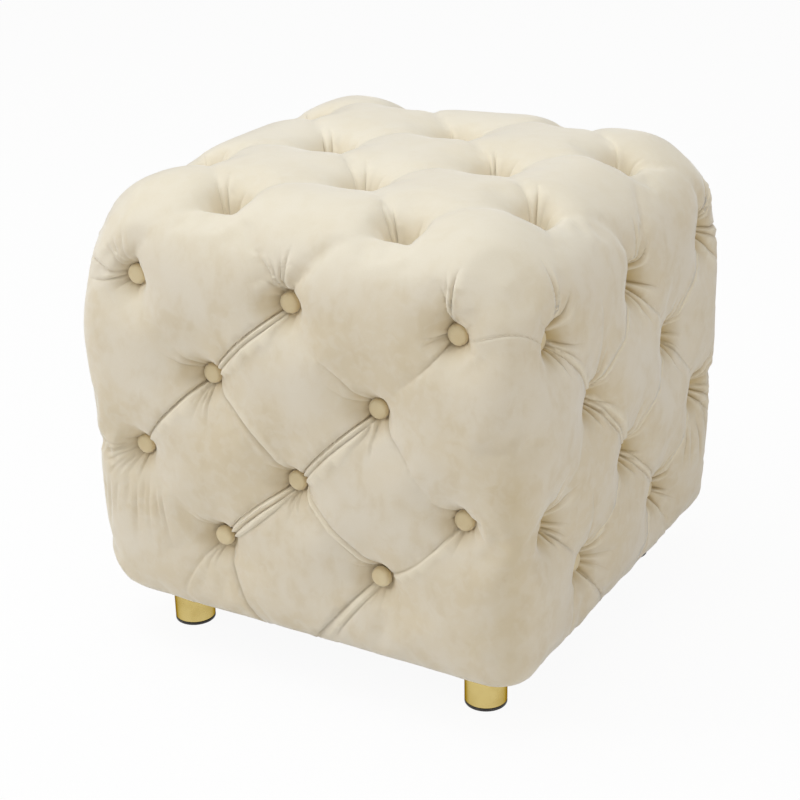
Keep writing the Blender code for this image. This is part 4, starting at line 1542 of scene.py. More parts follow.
@dataclass(frozen=True)
class Velvet:
    """Short-piled velvet, brushed in patches, with painted shade in its hollows, creases and round its
    buttons, and painted highlights on its upward faces and ridges.
    """

    name: str = "velvet"
    cream: Colour = (0.745, 0.645, 0.475)
    pale: Colour = (0.800, 0.730, 0.610)
    brushed: Colour = (0.685, 0.575, 0.395)
    # Painted highlight: paler colour on upward faces and over the whole top
    crown: Colour = (0.800, 0.735, 0.605)
    # Painted shade: tan that darkens the hollows round the buttons
    hollow_shade: Colour = (0.570, 0.430, 0.180)
    # Painted highlight: brighter cream on the ridges beside the pleats
    ridge_highlight: Colour = (0.880, 0.800, 0.640)
    # Painted shade: dark brown in the grooves of the creases and round the buttons
    crease_shade: Colour = (0.310, 0.200, 0.050)
    patch_scale: float = 11.0
    brush_scale: float = 48.0
    crush_scale: float = 105.0
    pile_scale: float = 1500.0
    sheen: float = 0.80

    def material(self) -> Material:
        """Make the velvet from patches, brush marks and pile, with painted light and shade laid over them.

        Returns:
            The material.
        """
        box = Paintbox(self.name)
        patches = box.span(box.cloud(self.patch_scale, 3.0, distortion=0.4), 0.32, 0.70)
        marks = box.span(box.cloud(self.brush_scale, 4.0, (1, 1, 0.7), 0.3), 0.40, 0.75)
        crush = box.span(box.cloud(self.crush_scale, 4.0, distortion=0.5), 0.38, 0.70)
        pile = box.cloud(self.pile_scale, 2.0)
        colour = box.blend(patches, self.cream, self.pale)
        colour = box.blend(box.span(marks, 0.0, 1.0, 0.0, 0.50), colour, self.brushed)
        colour = box.blend(box.span(crush, 0.0, 1.0, 0.0, 0.40), colour, self.pale)
        # Painted light and shade from the cover's point attributes: highlights on upward faces and ridges,
        # shade in hollows, grooves and round the buttons
        for attribute in ("crown", "hollow_shade", "ridge_highlight", "crease_shade"):
            share = box.add("ShaderNodeAttribute", {}, attribute_name=attribute).outputs["Fac"]
            colour = box.blend(share, colour, getattr(self, attribute))
        grain = box.blend(box.span(pile, 0.3, 0.7, 0.0, 0.12), colour, self.brushed)
        normal = box.bump(marks, 0.10, 0.0008)
        normal = box.bump(pile, 0.22, 0.0004, normal)
        return box.finish({"Base Color": grain, "Roughness": 0.88, "Specular IOR Level": 0.18,
                           "Normal": normal, "Sheen Weight": self.sheen, "Sheen Roughness": 0.42,
                           "Sheen Tint": (1.0, 0.985, 0.965, 1.0)})


@dataclass(frozen=True)
class GoldMetal:
    """Satin gold plating with fine turning lines."""

    name: str = "gold_metal"
    colour: Colour = (0.640, 0.505, 0.200)
    worn: Colour = (0.560, 0.425, 0.150)
    edge: Colour = (0.300, 0.190, 0.050)

    def material(self) -> Material:
        """Make the plating with its turning lines and faint smudges.

        Returns:
            The material.
        """
        box = Paintbox(self.name)
        smudges = box.span(box.cloud(45.0, 3.0), 0.35, 0.7)
        lines = box.cloud(60.0, 2.0, (1, 1, 60))
        rough = box.span(smudges, 0.0, 1.0, 0.20, 0.30)
        return box.finish({"Base Color": box.blend(smudges, self.colour, self.worn), "Metallic": 1.0,
                           "Roughness": rough, "Specular Tint": self.edge + (1.0,),
                           "Normal": box.bump(lines, 0.08, 0.0002)})


@dataclass(frozen=True)
class MouldedPlastic:
    """Dark moulded plastic with a fine spark-eroded grain."""

    name: str = "black_plastic"
    colour: Colour = (0.020, 0.017, 0.015)
    scuffed: Colour = (0.060, 0.055, 0.050)

    def material(self) -> Material:
        """Make the plastic with its grain and scuffs.

        Returns:
            The material.
        """
        box = Paintbox(self.name)
        scuffs = box.span(box.cloud(260.0, 4.0), 0.56, 0.75)
        grain = box.cloud(2400.0, 2.0)
        return box.finish({"Base Color": box.blend(scuffs, self.colour, self.scuffed), "Roughness": 0.48,
                           "Normal": box.bump(grain, 0.25, 0.0002)})


@dataclass(frozen=True)
class FoamRubber:
    """Open-celled upholstery foam."""

    name: str = "foam"
    colour: Colour = (0.80, 0.74, 0.50)
    pore: Colour = (0.62, 0.53, 0.30)

    def material(self) -> Material:
        """Make the foam with its pores.

        Returns:
            The material.
        """
        box = Paintbox(self.name)
        cells = box.add("ShaderNodeTexVoronoi", {"Vector": box.place(), "Scale": 700.0}).outputs["Distance"]
        pores = box.span(cells, 0.15, 0.6)
        tone = box.span(box.cloud(12.0, 3.0), 0.3, 0.7, 0.0, 0.35)
        colour = box.blend(tone, box.blend(pores, self.pore, self.colour), self.pore)
        return box.finish({"Base Color": colour, "Roughness": 0.95, "Specular IOR Level": 0.1,
                           "Normal": box.bump(pores, 0.5, 0.0005)})


@dataclass(frozen=True)
class Plywood:
    """Birch plywood: long grain on its faces, and dark lines between the plies at its edges."""

    name: str = "plywood"
    through: int = 2
    light: Colour = (0.70, 0.52, 0.32)
    dark: Colour = (0.52, 0.35, 0.18)
    glue: Colour = (0.30, 0.18, 0.09)
    plies_per_metre: float = 330.0

    def material(self) -> Material:
        """Make the plywood of boards that are thin along one axis.

        Returns:
            The material.
        """
        box = Paintbox(f"{self.name}_{'xyz'[self.through]}")
        along = [1.0, 1.0, 1.0]
        along[(self.through + 1) % 3] = 0.06
        grain = box.span(box.cloud(90.0, 5.0, along, 1.2), 0.3, 0.7)
        band = box.add("ShaderNodeTexWave", {"Vector": box.place(), "Scale": self.plies_per_metre / math.tau,
                                             "Distortion": 0.6}, bands_direction="XYZ"[self.through])
        facing = box.add("ShaderNodeNewGeometry", {}).outputs["Normal"]
        parts = box.add("ShaderNodeSeparateXYZ", {"Vector": facing}).outputs[self.through]
        level = box.add("ShaderNodeMath", {0: parts}, operation="ABSOLUTE").outputs[0]
        edge = box.span(level, 0.3, 0.8, 1.0, 0.0)
        plies = box.reckon("MULTIPLY", edge, box.span(band.outputs["Fac"], 0.75, 0.95))
        colour = box.blend(plies, box.blend(grain, self.light, self.dark), self.glue)
        return box.finish({"Base Color": colour, "Roughness": 0.68, "Normal": box.bump(grain, 0.15, 0.0003)})


@dataclass(frozen=True)
class Softwood:
    """Planed pine with growth rings and long grain."""

    name: str = "softwood"
    early: Colour = (0.76, 0.58, 0.34)
    late: Colour = (0.56, 0.34, 0.15)

    def material(self) -> Material:
        """Make the pine with rings round an upright heart.

        Returns:
            The material.
        """
        box = Paintbox(self.name)
        inputs = {"Vector": box.place((1, 1, 0.08)), "Scale": 55.0, "Distortion": 2.5, "Detail": 3.0}
        rings = box.add("ShaderNodeTexWave", inputs, wave_type="RINGS", rings_direction="Z")
        bands = box.span(rings.outputs["Fac"], 0.35, 0.9)
        fibre = box.cloud(500.0, 2.0, (1, 1, 0.03))
        return box.finish({"Base Color": box.blend(bands, self.early, self.late), "Roughness": 0.65,
                           "Normal": box.bump(fibre, 0.2, 0.0003)})


@dataclass(frozen=True)
class DustCloth:
    """Dark bonded fibre cloth with a dimpled emboss."""

    name: str = "dust_cloth"
    colour: Colour = (0.030, 0.030, 0.032)
    fibre: Colour = (0.075, 0.075, 0.078)

    def material(self) -> Material:
        """Make the cloth with its fibres and emboss.

        Returns:
            The material.
        """
        box = Paintbox(self.name)
        fibres = box.span(box.cloud(420.0, 5.0, (1, 0.45, 1), 1.5), 0.45, 0.7)
        dots = box.add("ShaderNodeTexVoronoi", {"Vector": box.place(), "Scale": 420.0, "Randomness": 0.0})
        emboss = box.span(dots.outputs["Distance"], 0.1, 0.35)
        normal = box.bump(fibres, 0.25, 0.0003, box.bump(emboss, 0.35, 0.0004))
        return box.finish({"Base Color": box.blend(fibres, self.colour, self.fibre), "Roughness": 0.9,
                           "Specular IOR Level": 0.2, "Normal": normal})


@dataclass(frozen=True)
class ZincSteel:
    """Zinc-plated steel with a cloudy passivated surface."""

    name: str = "zinc_steel"
    colour: Colour = (0.62, 0.64, 0.66)
    clouded: Colour = (0.48, 0.49, 0.47)

    def material(self) -> Material:
        """Make the plating with its clouds and fine scratches.

        Returns:
            The material.
        """
        box = Paintbox(self.name)
        clouds = box.span(box.cloud(180.0, 4.0, distortion=0.6), 0.35, 0.7)
        scratches = box.cloud(900.0, 3.0, (1, 0.1, 1))
        return box.finish({"Base Color": box.blend(clouds, self.colour, self.clouded), "Metallic": 1.0,
                           "Roughness": box.span(clouds, 0.0, 1.0, 0.30, 0.46),
                           "Normal": box.bump(scratches, 0.1, 0.0002)})


BUTTON_VELVET = Velvet(name="button_velvet", cream=(0.745, 0.620, 0.390), pale=(0.790, 0.680, 0.450),
                       brushed=(0.690, 0.560, 0.335), patch_scale=60.0)
TWINE = Softwood(name="waxed_twine", early=(0.62, 0.50, 0.33), late=(0.45, 0.34, 0.20))


class MeshStock:
    """Collects the points and faces of one piece."""

    def __init__(self) -> None:
        """Start with nothing."""
        self.points: list[Array] = []
        self.faces: list[Sequence[int]] = []
        self.kinds: list[int] = []
        self.count = 0

    def add(self, points: Array, faces: Sequence[Sequence[int]], kind: int = 0) -> None:
        """Add points, and faces of one kind that number them from 0."""
        self.points.append(points)
        self.faces += [[index + self.count for index in face] for face in faces]
        self.kinds += [kind] * len(faces)
        self.count += len(points)

    def piece(self, name: str, materials: Material | Sequence[Material], slot: str,
              replaced: Sequence[str] = (), sharp: bool = True) -> Piece:
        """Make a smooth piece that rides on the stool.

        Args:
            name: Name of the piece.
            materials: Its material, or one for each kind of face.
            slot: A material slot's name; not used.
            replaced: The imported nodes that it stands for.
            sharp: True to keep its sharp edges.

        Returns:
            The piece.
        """
        mesh = bpy.data.meshes.new(name)
        mesh.from_pydata(np.concatenate(self.points).tolist(), [], self.faces)
        mesh.shade_smooth()
        if sharp:
            mesh.set_sharp_from_angle(angle=SHARP_ANGLE)
        for material in (materials if isinstance(materials, Sequence) else (materials,)):
            mesh.materials.append(material)
        mesh.polygons.foreach_set("material_index", self.kinds)
        piece = shown(name, mesh)
        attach(piece, ROOT)
        if replaced:
            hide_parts(*replaced)
        LOG.info("%s: %d faces", name, len(self.faces))
        return piece


def joined(rings: Sequence[Array], ends: Sequence[Sequence[float]], flip: bool = False) -> Shell:
    """Join rings of points into a closed body.

    Args:
        rings: Rings of as many points each.
        ends: Middles of the two end faces, or nothing where the last ring joins the first.
        flip: True to turn the faces over.

    Returns:
        Points, and faces that look out.
    """
    count = len(rings[0])
    last = (len(rings) - 1) * count
    points = np.concatenate([*rings, np.reshape(ends, (-1, 3))])
    faces: list[Sequence[int]] = []
    for step in range(count):
        after = (step + 1) % count
        if len(ends):
            faces += [(len(points) - 2, step, after), (len(points) - 1, last + after, last + step)]
        else:
            faces.append((last + step, step, after, last + after))
        faces += [(ring + step, ring + count + step, ring + count + after, ring + after)
                  for ring in range(0, last, count)]
    return points, [(face[0], *face[:0:-1]) for face in faces] if flip else faces


def turned(profile: Sequence[Pair], segments: int, bored: bool = False) -> Shell:
    """Turn a profile about Z into a closed body.

    Args:
        profile: Radius and height from the top's middle down the outside to the bottom's middle.
        segments: Number of steps round.
        bored: True where the profile's ends are the rims of a bore and not on the axis.

    Returns:
        Points, and faces that look out.
    """
    angle = np.arange(segments) / segments * math.tau
    rings = [np.column_stack([radius * np.cos(angle), radius * np.sin(angle), np.full(segments, height)])
             for radius, height in (profile if bored else profile[1:-1])]
    return joined(rings, () if bored else ((0, 0, profile[0][1]), (0, 0, profile[-1][1])))


def filleted(corners: Sequence[Pair], radius: float, steps: int = 4
             ) -> list[Pair]:
    """Round every inner corner of a profile.

    Args:
        corners: The profile's corners; its two ends stay.
        radius: Distance from a corner at which the round starts.
        steps: Number of steps in each round.

    Returns:
        The rounded profile.
    """
    rounded = [corners[0]]
    for before, corner, after in zip(corners, corners[1:], corners[2:]):
        here = np.array(corner)
        ends = [here + unit(np.array(other) - here) * min(radius, FILLET_SHARE * math.dist(other, corner))
                for other in (before, after)]
        for share in np.linspace(0, 1, steps + 1):
            spot = ends[0] * (1 - share) ** 2 + 2 * here * share * (1 - share) + ends[1] * share ** 2
            rounded.append((float(spot[0]), float(spot[1])))
    return rounded + [corners[-1]]


def swept(path: Array, radius: float, sides: int = 8, twist: float = 0.0, lobe: float = 0.0) -> Shell:
    """Sweep a round or two-lobed section along a path, with closed ends.

    Args:
        path: Points along the middle.
        radius: Radius of the section.
        sides: Number of its sides.
        twist: Turn of the section from one point to the next.
        lobe: Share by which the two lobes stand out.

    Returns:
        Points, and faces that look out.
    """
    tangent = unit(np.gradient(path, axis=0))
    guide = np.array(SWEEP_GUIDE if abs(tangent[0, 2]) < STEEP else SWEEP_GUIDE[::-1])
    first = unit(np.cross(tangent, guide))
    second = np.cross(tangent, first)
    angle = np.arange(sides) / sides * math.tau
    rings = []
    for number, middle in enumerate(path):
        reach = radius * (1 - lobe + lobe * np.cos(2 * (angle - twist * number)))
        rings.append(middle + first[number] * (reach * np.cos(angle))[:, None]
                     + second[number] * (reach * np.sin(angle))[:, None])
    return joined(rings, (path[0], path[-1]), flip=True)


@dataclass
class TuftedCover:
    """The velvet cover with its filling, in one closed piece, and the stitches of its corner seams."""

    lattice: Lattice
    block: Block
    velvet: Velvet
    fill: float = 0.85
    held_reach: float = 0.0095
    held_row: float = 3.9
    # Painted shade in the hollows: it starts at the first depth below the body and is full at the second
    drawn_from: float = 0.005
    drawn_to: float = 0.028
    # Painted shade in the grooves: its share on the front and back, and on the left and right sides
    crease_tints: Pair = (0.12, 0.46)
    # Painted shadow round the rim of each button: its share and its half width
    outline_tint: float = 0.50
    outline_width: float = 0.0011
    # Painted highlight on upward faces: its share, its share over the whole top and the slopes over which it
    # sets in
    crown_tint: float = 0.65
    top_crown: float = 0.60
    crown_slopes: Pair = (0.10, 0.85)
    # Painted highlight on the ridges: its share and the ridge height at which it is full
    ridge_tint: float = 0.95
    ridge_full: float = 0.0020
    # Painted shade down the upright corners: its share, half width and the rows over which it sets in
    corner_tint: float = 0.20
    corner_width: float = 0.017
    corner_rows: Pair = (0.3, 1.2)
    # Painted shade in the hollows: its share on the top, then its shares on the front and back and on the
    # left and right sides
    top_share: float = 0.08
    drawn_tints: Pair = (0.33, 1.0)
    turn_width: float = 0.04
    # Groove depths over which the painted shade in the creases sets in
    crease_depths: Pair = (0.0008, 0.0030)
    cloth_grid: tuple[int, int] = (72, 66)
    fine_grid: tuple[int, int] = (160, 146)
    stitch_count: int = 11
    stitch_share: float = 0.62
    stitch_radius: float = 0.0004
    stitch_sink: float = 0.0009
    stitch_ends: Pair = (0.05, 0.95)
    stitch_points: int = 6
    stitch_lean: float = 0.02
    skin: Skin = field(init=False)

    def drawn_skin(self, across: int, down: int) -> tuple[Skin, Array]:
        """Draw a skin in at the buttons.

        Args:
            across: Steps of its grid along a side.
            down: Steps of its grid down a side.

        Returns:
            The skin, and how firmly each of its points is held.
        """
        skin = Skin(self.block, across, down)
        start = skin.points()
        tufting = Tufting(self.block, self.lattice, skin)
        places = tufting.button_places()[0]
        tufting.draw_in()
        held = np.zeros(len(start))
        for place in places:
            held[lengths(start - place) < self.held_reach] = 1.0
        rows = self.block.row_at(np.linspace(0, self.block.wrap_depth, down + 1))
        low = np.repeat(rows > self.held_row, skin.wrap.shape[1])
        held[:len(low)][low] = 1.0
        return skin, held

    def swell(self) -> None:
        """Draw the skin in at its buttons and let the filling swell it."""
        self.skin, _ = self.drawn_skin(*self.fine_grid)
        coarse, held = self.drawn_skin(*self.cloth_grid)
        swelling = Inflation(coarse).run(held)
        self.skin.set_points(self.skin.points() + swelling.sample(*self.skin.chart_places()))

    def build(self) -> None:
        """Make the cover with its creases, and paint light and shade onto it."""
        self.swell()
        folds = FoldPlan().plan()
        cover = CoverMesh(self.block, self.skin)
        cover.cut(folds)
        groove, ridge = cover.press(folds)
        body = Skin(self.block, *self.fine_grid).sample(cover.on_top, cover.places)
        sunk = lengths(body - cover.points)
        shallow, deep = self.crease_depths
        # Painted shade in the hollows, deeper the further the cover is sunk below the body
        hollow_shade = eased((sunk - self.drawn_from) / (self.drawn_to - self.drawn_from))
        sideways = eased((np.abs(body[:, 0]) - np.abs(body[:, 1])) / self.turn_width)
        hollow_shade *= np.where(cover.on_top, self.top_share,
                          self.drawn_tints[0] + np.ptp(self.drawn_tints) * sideways)
        # Painted shade down the upright corners joins the painted shade in the hollows
        hollow_shade = np.maximum(hollow_shade, self.worn_corners(cover))
        # Painted shade in the grooves of the creases, fainter on the front and back
        crease_shade = eased((groove - shallow) / (deep - shallow))
        crease_shade *= self.crease_tints[0] + np.ptp(self.crease_tints) * sideways
        crease_shade = np.maximum(crease_shade, self.outlines(cover))
        # Painted highlight on upward faces and over the whole top
        upward = vertex_normals(cover.points, cover.triangles)[:, 2]
        crown = self.crown_tint * eased((upward - self.crown_slopes[0]) / np.ptp(self.crown_slopes))
        crown = np.maximum(crown, self.top_crown * cover.on_top)
        # Painted highlight on the ridges
        ridge_highlight = self.ridge_tint * eased(ridge / self.ridge_full)
        tints = {"crown": crown, "hollow_shade": hollow_shade, "ridge_highlight": ridge_highlight, "crease_shade": crease_shade}
        stock = MeshStock()
        stock.add(*cover.close())
        pads = [f"tufted_pad_{label}" for label in FACE_LABELS]
        piece = stock.piece("tufted_cover", self.velvet.material(), "velvet", pads, sharp=False)
        for name, share in tints.items():
            tint = piece.data.attributes.new(name, "FLOAT", "POINT")
            tint.data.foreach_set("value", np.pad(share, (0, stock.count - len(share))).astype(np.float32))

    def outlines(self, cover: CoverMesh) -> Array:
        """Find the painted shadow in the gap round each button.

        Args:
            cover: The cover with its creases pressed in.

        Returns:
            Share of the crease shade colour at each point.
        """
        share = np.zeros(len(cover.points))
        for place in self.skin.at(Lattice.buttons()):
            apart = lengths(cover.points - place) - self.lattice.button_radius
            share = np.maximum(share, self.outline_tint * bell(apart / self.outline_width))
        return share

    def worn_corners(self, cover: CoverMesh) -> Array:
        """Find the painted shade down the upright corners, from the upper row of buttons down.

        Args:
            cover: The cover with its creases pressed in.

        Returns:
            Share of the hollow shade colour at each point.
        """
        run, fall = cover.places.T
        length = self.block.side_length
        apart = np.abs(run - np.round(run / length) * length)
        start, length_down = self.corner_rows
        low = eased((self.block.row_at(fall) - start) / length_down)
        return np.where(cover.on_top, 0.0, self.corner_tint * low * bell(apart / self.corner_width))

    def stitch(self) -> None:
        """Sew the seams that run round the upright corners at the upper row of buttons."""
        stock = MeshStock()
        lean, count = self.stitch_lean, self.stitch_points
        first, last = FoldPlan.SEAM_ENDS
        for side in Side:
            edges = np.linspace(*self.stitch_ends, self.stitch_count + 1)
            for start, end in zip(edges, edges[1:]):
                share = start + (end - start) * np.linspace(0, self.stitch_share, count)
                strip = np.column_stack([np.full(count, side.value), first + (last - first) * share,
                                         -FoldPlan.SEAM_RISE * np.sin(math.pi * share)])
                along, down = strip + (0, lean, 0), strip + (0, 0, lean)
                middle, right, below = (self.skin.at(row) for row in (strip, along, down))
                out = unit(np.cross(below - middle, right - middle))
                arch = np.sin(np.linspace(0, math.pi, count))[:, None] * self.stitch_radius
                stock.add(*swept(middle - out * self.stitch_sink + out * arch, self.stitch_radius))
        stock.piece("corner_stitches", self.velvet.material(), "velvet")


@dataclass
class ButtonRows:
    """Covered buttons with their twine, and the lacing that ties each row behind its board."""

    lattice: Lattice
    velvet: Velvet
    twine: Softwood
    segments: int = 40
    gathers: int = 13
    gather_depth: float = 0.014
    gather_start: float = 0.6
    gather_width: float = 0.4
    twine_radius: float = 0.0010
    twine_step: float = 0.002
    twine_twist: float = 0.7
    twine_sides: int = 8
    twine_lobe: float = 0.2
    tail: float = 0.002

    GUIDE = (0.3, 0.5, 0.8)
    PROFILE = (
        (0.0, 1.0), (0.25, 0.998), (0.48, 0.985), (0.66, 0.955), (0.79, 0.90), (0.88, 0.81), (0.945, 0.67),
        (0.985, 0.47), (1.0, 0.25), (0.98, 0.06), (0.90, -0.05), (0.0, -0.05))

    def head(self) -> Shell:
        """Make one button on the XY plane, gathered at its rim.

        Returns:
            Points, and faces that look out.
        """
        radius, height = self.lattice.button_radius, self.lattice.button_height
        points, faces = turned([(r * radius, h * height) for r, h in self.PROFILE], self.segments)
        reach = np.hypot(points[:, 0], points[:, 1]) / radius
        angle = np.arctan2(points[:, 1], points[:, 0])
        share = eased((reach - self.gather_start) / self.gather_width)
        gather = 1 - self.gather_depth * share * (1 + np.cos(self.gathers * angle))
        points[:, :2] *= gather[:, None]
        return points, faces

    def cord(self, start: Array, end: Array) -> Shell:
        """A straight run of two-ply twine."""
        count = max(int(np.linalg.norm(end - start) / self.twine_step), 3)
        path = start + (end - start) * np.linspace(0, 1, count)[:, None]
        return swept(path, self.twine_radius, self.twine_sides, self.twine_twist, self.twine_lobe)

    def row(self, label: str, number: int, spots: Array, out: Array, drop: float) -> None:
        """Make one row.

        Args:
            label: Name of the row's face.
            number: Number of the row.
            spots: Middles of the buttons' seats.
            out: Direction out of the face.
            drop: Distance from the seats in to the lacing.
        """
        stock = MeshStock()
        points, faces = self.head()
        first = unit(np.cross(out, np.array(self.GUIDE)))
        turn = np.stack([first, np.cross(out, first), out])
        for spot in spots:
            stock.add(spot + points @ turn, faces)
            stock.add(*self.cord(spot, spot - out * drop), kind=1)
        along = unit(spots[-1] - spots[0]) * self.tail
        stock.add(*self.cord(spots[0] - along - out * drop, spots[-1] + along - out * drop), kind=1)
        stock.piece(f"covered_buttons_{label}_row_{number}", (self.velvet.material(), self.twine.material()),
                    "button_velvet", [f"buttons_{label}_row_{number}"])

    def build(self) -> None:
        """Make every row of the four sides and of the top."""
        lattice = self.lattice
        for label in (*(side.label for side in Side), "top"):
            drop = lattice.side_seat - lattice.side_lacing
            if label == "top":
                drop = lattice.top_seat - lattice.top_lacing
            rows, out = lattice.seats(label)
            for number, spots in enumerate(rows, 1):
                self.row(label, number, spots, out, drop)


@dataclass
class FoamSlabs:
    """Foam between the plywood box and the padding, dented where the twine draws it in."""

    lattice: Lattice
    foam: FoamRubber
    edge: float = 0.0025
    step: float = 0.010
    dent_depth: float = 0.0020
    dent_width: float = 0.011
    edge_lines: int = 4
    foot_start: float = 0.2392
    foot_share: float = 0.05
    fill: float = 1.0

    def lines(self, low: float, high: float) -> Array:
        """Grid lines from edge to edge, closer at the rounded edges."""
        rounds = self.edge * (1 - np.cos(np.linspace(0, math.pi / 2, self.edge_lines)))
        count = max(int((high - low - 2 * self.edge) / self.step), 1) + 1
        middle = np.linspace(low + self.edge, high - self.edge, count)
        return np.concatenate([low + rounds[:-1], middle, high - rounds[-2::-1]])

    def slab(self, low: Array, high: Array) -> bmesh.types.BMesh:
        """A slab with rounded edges.

        Args:
            low: Its lowest corner.
            high: Its highest corner.

        Returns:
            The slab's mesh.
        """
        bm = bmesh.new()
        lines = [self.lines(low[axis], high[axis]) for axis in range(3)]
        for axis in range(3):
            first, second = (axis + 1) % 3, (axis + 2) % 3
            for level, flip in ((low[axis], True), (high[axis], False)):
                grid = np.zeros((len(lines[first]), len(lines[second]), 3))
                grid[..., first], grid[..., second] = np.meshgrid(lines[first], lines[second], indexing="ij")
                grid[..., axis] = level
                core = np.clip(grid, low + self.edge, high - self.edge)
                grid = core + unit(grid - core) * self.edge
                knots = [[bm.verts.new(point) for point in row] for row in grid]
                for i in range(len(knots) - 1):
                    for j in range(len(knots[0]) - 1):
                        ring = [knots[i][j], knots[i + 1][j], knots[i + 1][j + 1], knots[i][j + 1]]
                        bm.faces.new(ring[::-1] if flip else ring)
        bmesh.ops.remove_doubles(bm, verts=bm.verts, dist=WELD)
        return bm

    def build(self) -> None:
        """Make the five slabs."""
        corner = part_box("foam_top")[1]
        for label in FACE_LABELS:
            low, high = (np.array(end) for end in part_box(f"foam_{label}"))
            bm = self.slab(low, high)
            rows, out = self.lattice.seats(label)
            spots = np.concatenate(rows)
            face = max(low @ out, high @ out) - self.edge
            for vert in bm.verts:
                place = np.array(vert.co)
                if place @ out > face:
                    apart = lengths(np.cross(spots - place, out)).min()
                    vert.co = place - out * self.dent_depth * bell(apart / self.dent_width)
            stock = MeshStock()
            bm.verts.index_update()
            points = tucked(np.array([vert.co for vert in bm.verts]), corner.x, corner.z)
            risen = np.clip((points[:, 2] - low[2]) / FOOT_RISE, 0, 1)
            points = drawn_corners(points, self.foot_start, self.foot_share + (1 - self.foot_share) * risen)
            stock.add(points, [[vert.index for vert in face.verts] for face in bm.faces])
            bm.free()
            piece = stock.piece(f"foam_slab_{label}", self.foam.material(), "foam", [f"foam_{label}"])


@dataclass
class Legs:
    """Turned metal legs on plastic glides."""

    gold: GoldMetal
    plastic: MouldedPlastic
    wall: float = 0.0015
    plate: float = 0.003
    bolt_room: float = 0.0043
    edge: float = 0.0007
    segments: int = 72

    CORNERS = ("front_left", "front_right", "back_right", "back_left")

    def build(self) -> None:
        """Make the four legs with their glides."""
        for corner in self.CORNERS:
            low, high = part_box(f"leg_{corner}")
            centre = np.array([(low.x + high.x) / 2, (low.y + high.y) / 2, 0])
            radius, inside = (high.x - low.x) / 2, (high.x - low.x) / 2 - self.wall
            tube = filleted([(self.bolt_room, high.z), (radius, high.z), (radius, low.z), (inside, low.z),
                             (inside, high.z - self.plate), (self.bolt_room, high.z - self.plate)], self.edge)
            low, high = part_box(f"leg_glide_{corner}")
            shapes = node_points(f"leg_glide_{corner}")
            reach = lengths(shapes[:, :2] - centre[:2])
            stem = reach[shapes[:, 2] > (low.z + high.z) / 2].max()
            disc = shapes[reach > reach.max() - self.edge][:, 2].max()
            pad = filleted([(0, high.z), (stem, high.z), (stem, disc), (radius, disc), (radius, low.z),
                            (0, low.z)], self.edge)
            for name, profile, finish, node in (("turned_leg", tube, self.gold, "leg"),
                                                ("moulded_glide", pad, self.plastic, "leg_glide")):
                points, faces = turned(profile, self.segments, bored=profile is tube)
                stock = MeshStock()
                stock.add(points + centre, faces)
                stock.piece(f"{name}_{corner}", finish.material(), finish.name, [f"{node}_{corner}"])


@dataclass
class Carcass:
    """The plywood box, its corner blocks and the fastenings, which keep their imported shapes."""

    def dress(self, node: str, material: Material) -> None:
        """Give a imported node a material."""
        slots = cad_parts[node].data.materials
        slots.clear()
        slots.append(material)
        LOG.info("%s: %s", node, material.name)

    def build(self) -> None:
        """Dress the boards, the blocks, the bolts and the nuts."""
        for through, nodes in enumerate((("left_panel", "right_panel"), ("front_panel", "back_panel"),
                                         ("top_board", "base_board"))):
            plywood = Plywood(through=through).material()
            for node in nodes:
                self.dress(node, plywood)
        pine, zinc = Softwood().material(), ZincSteel().material()
        for corner in Legs.CORNERS:
            self.dress(f"corner_block_{corner}", pine)
            self.dress(f"leg_bolt_{corner}", zinc)
            self.dress(f"leg_nut_{corner}", zinc)


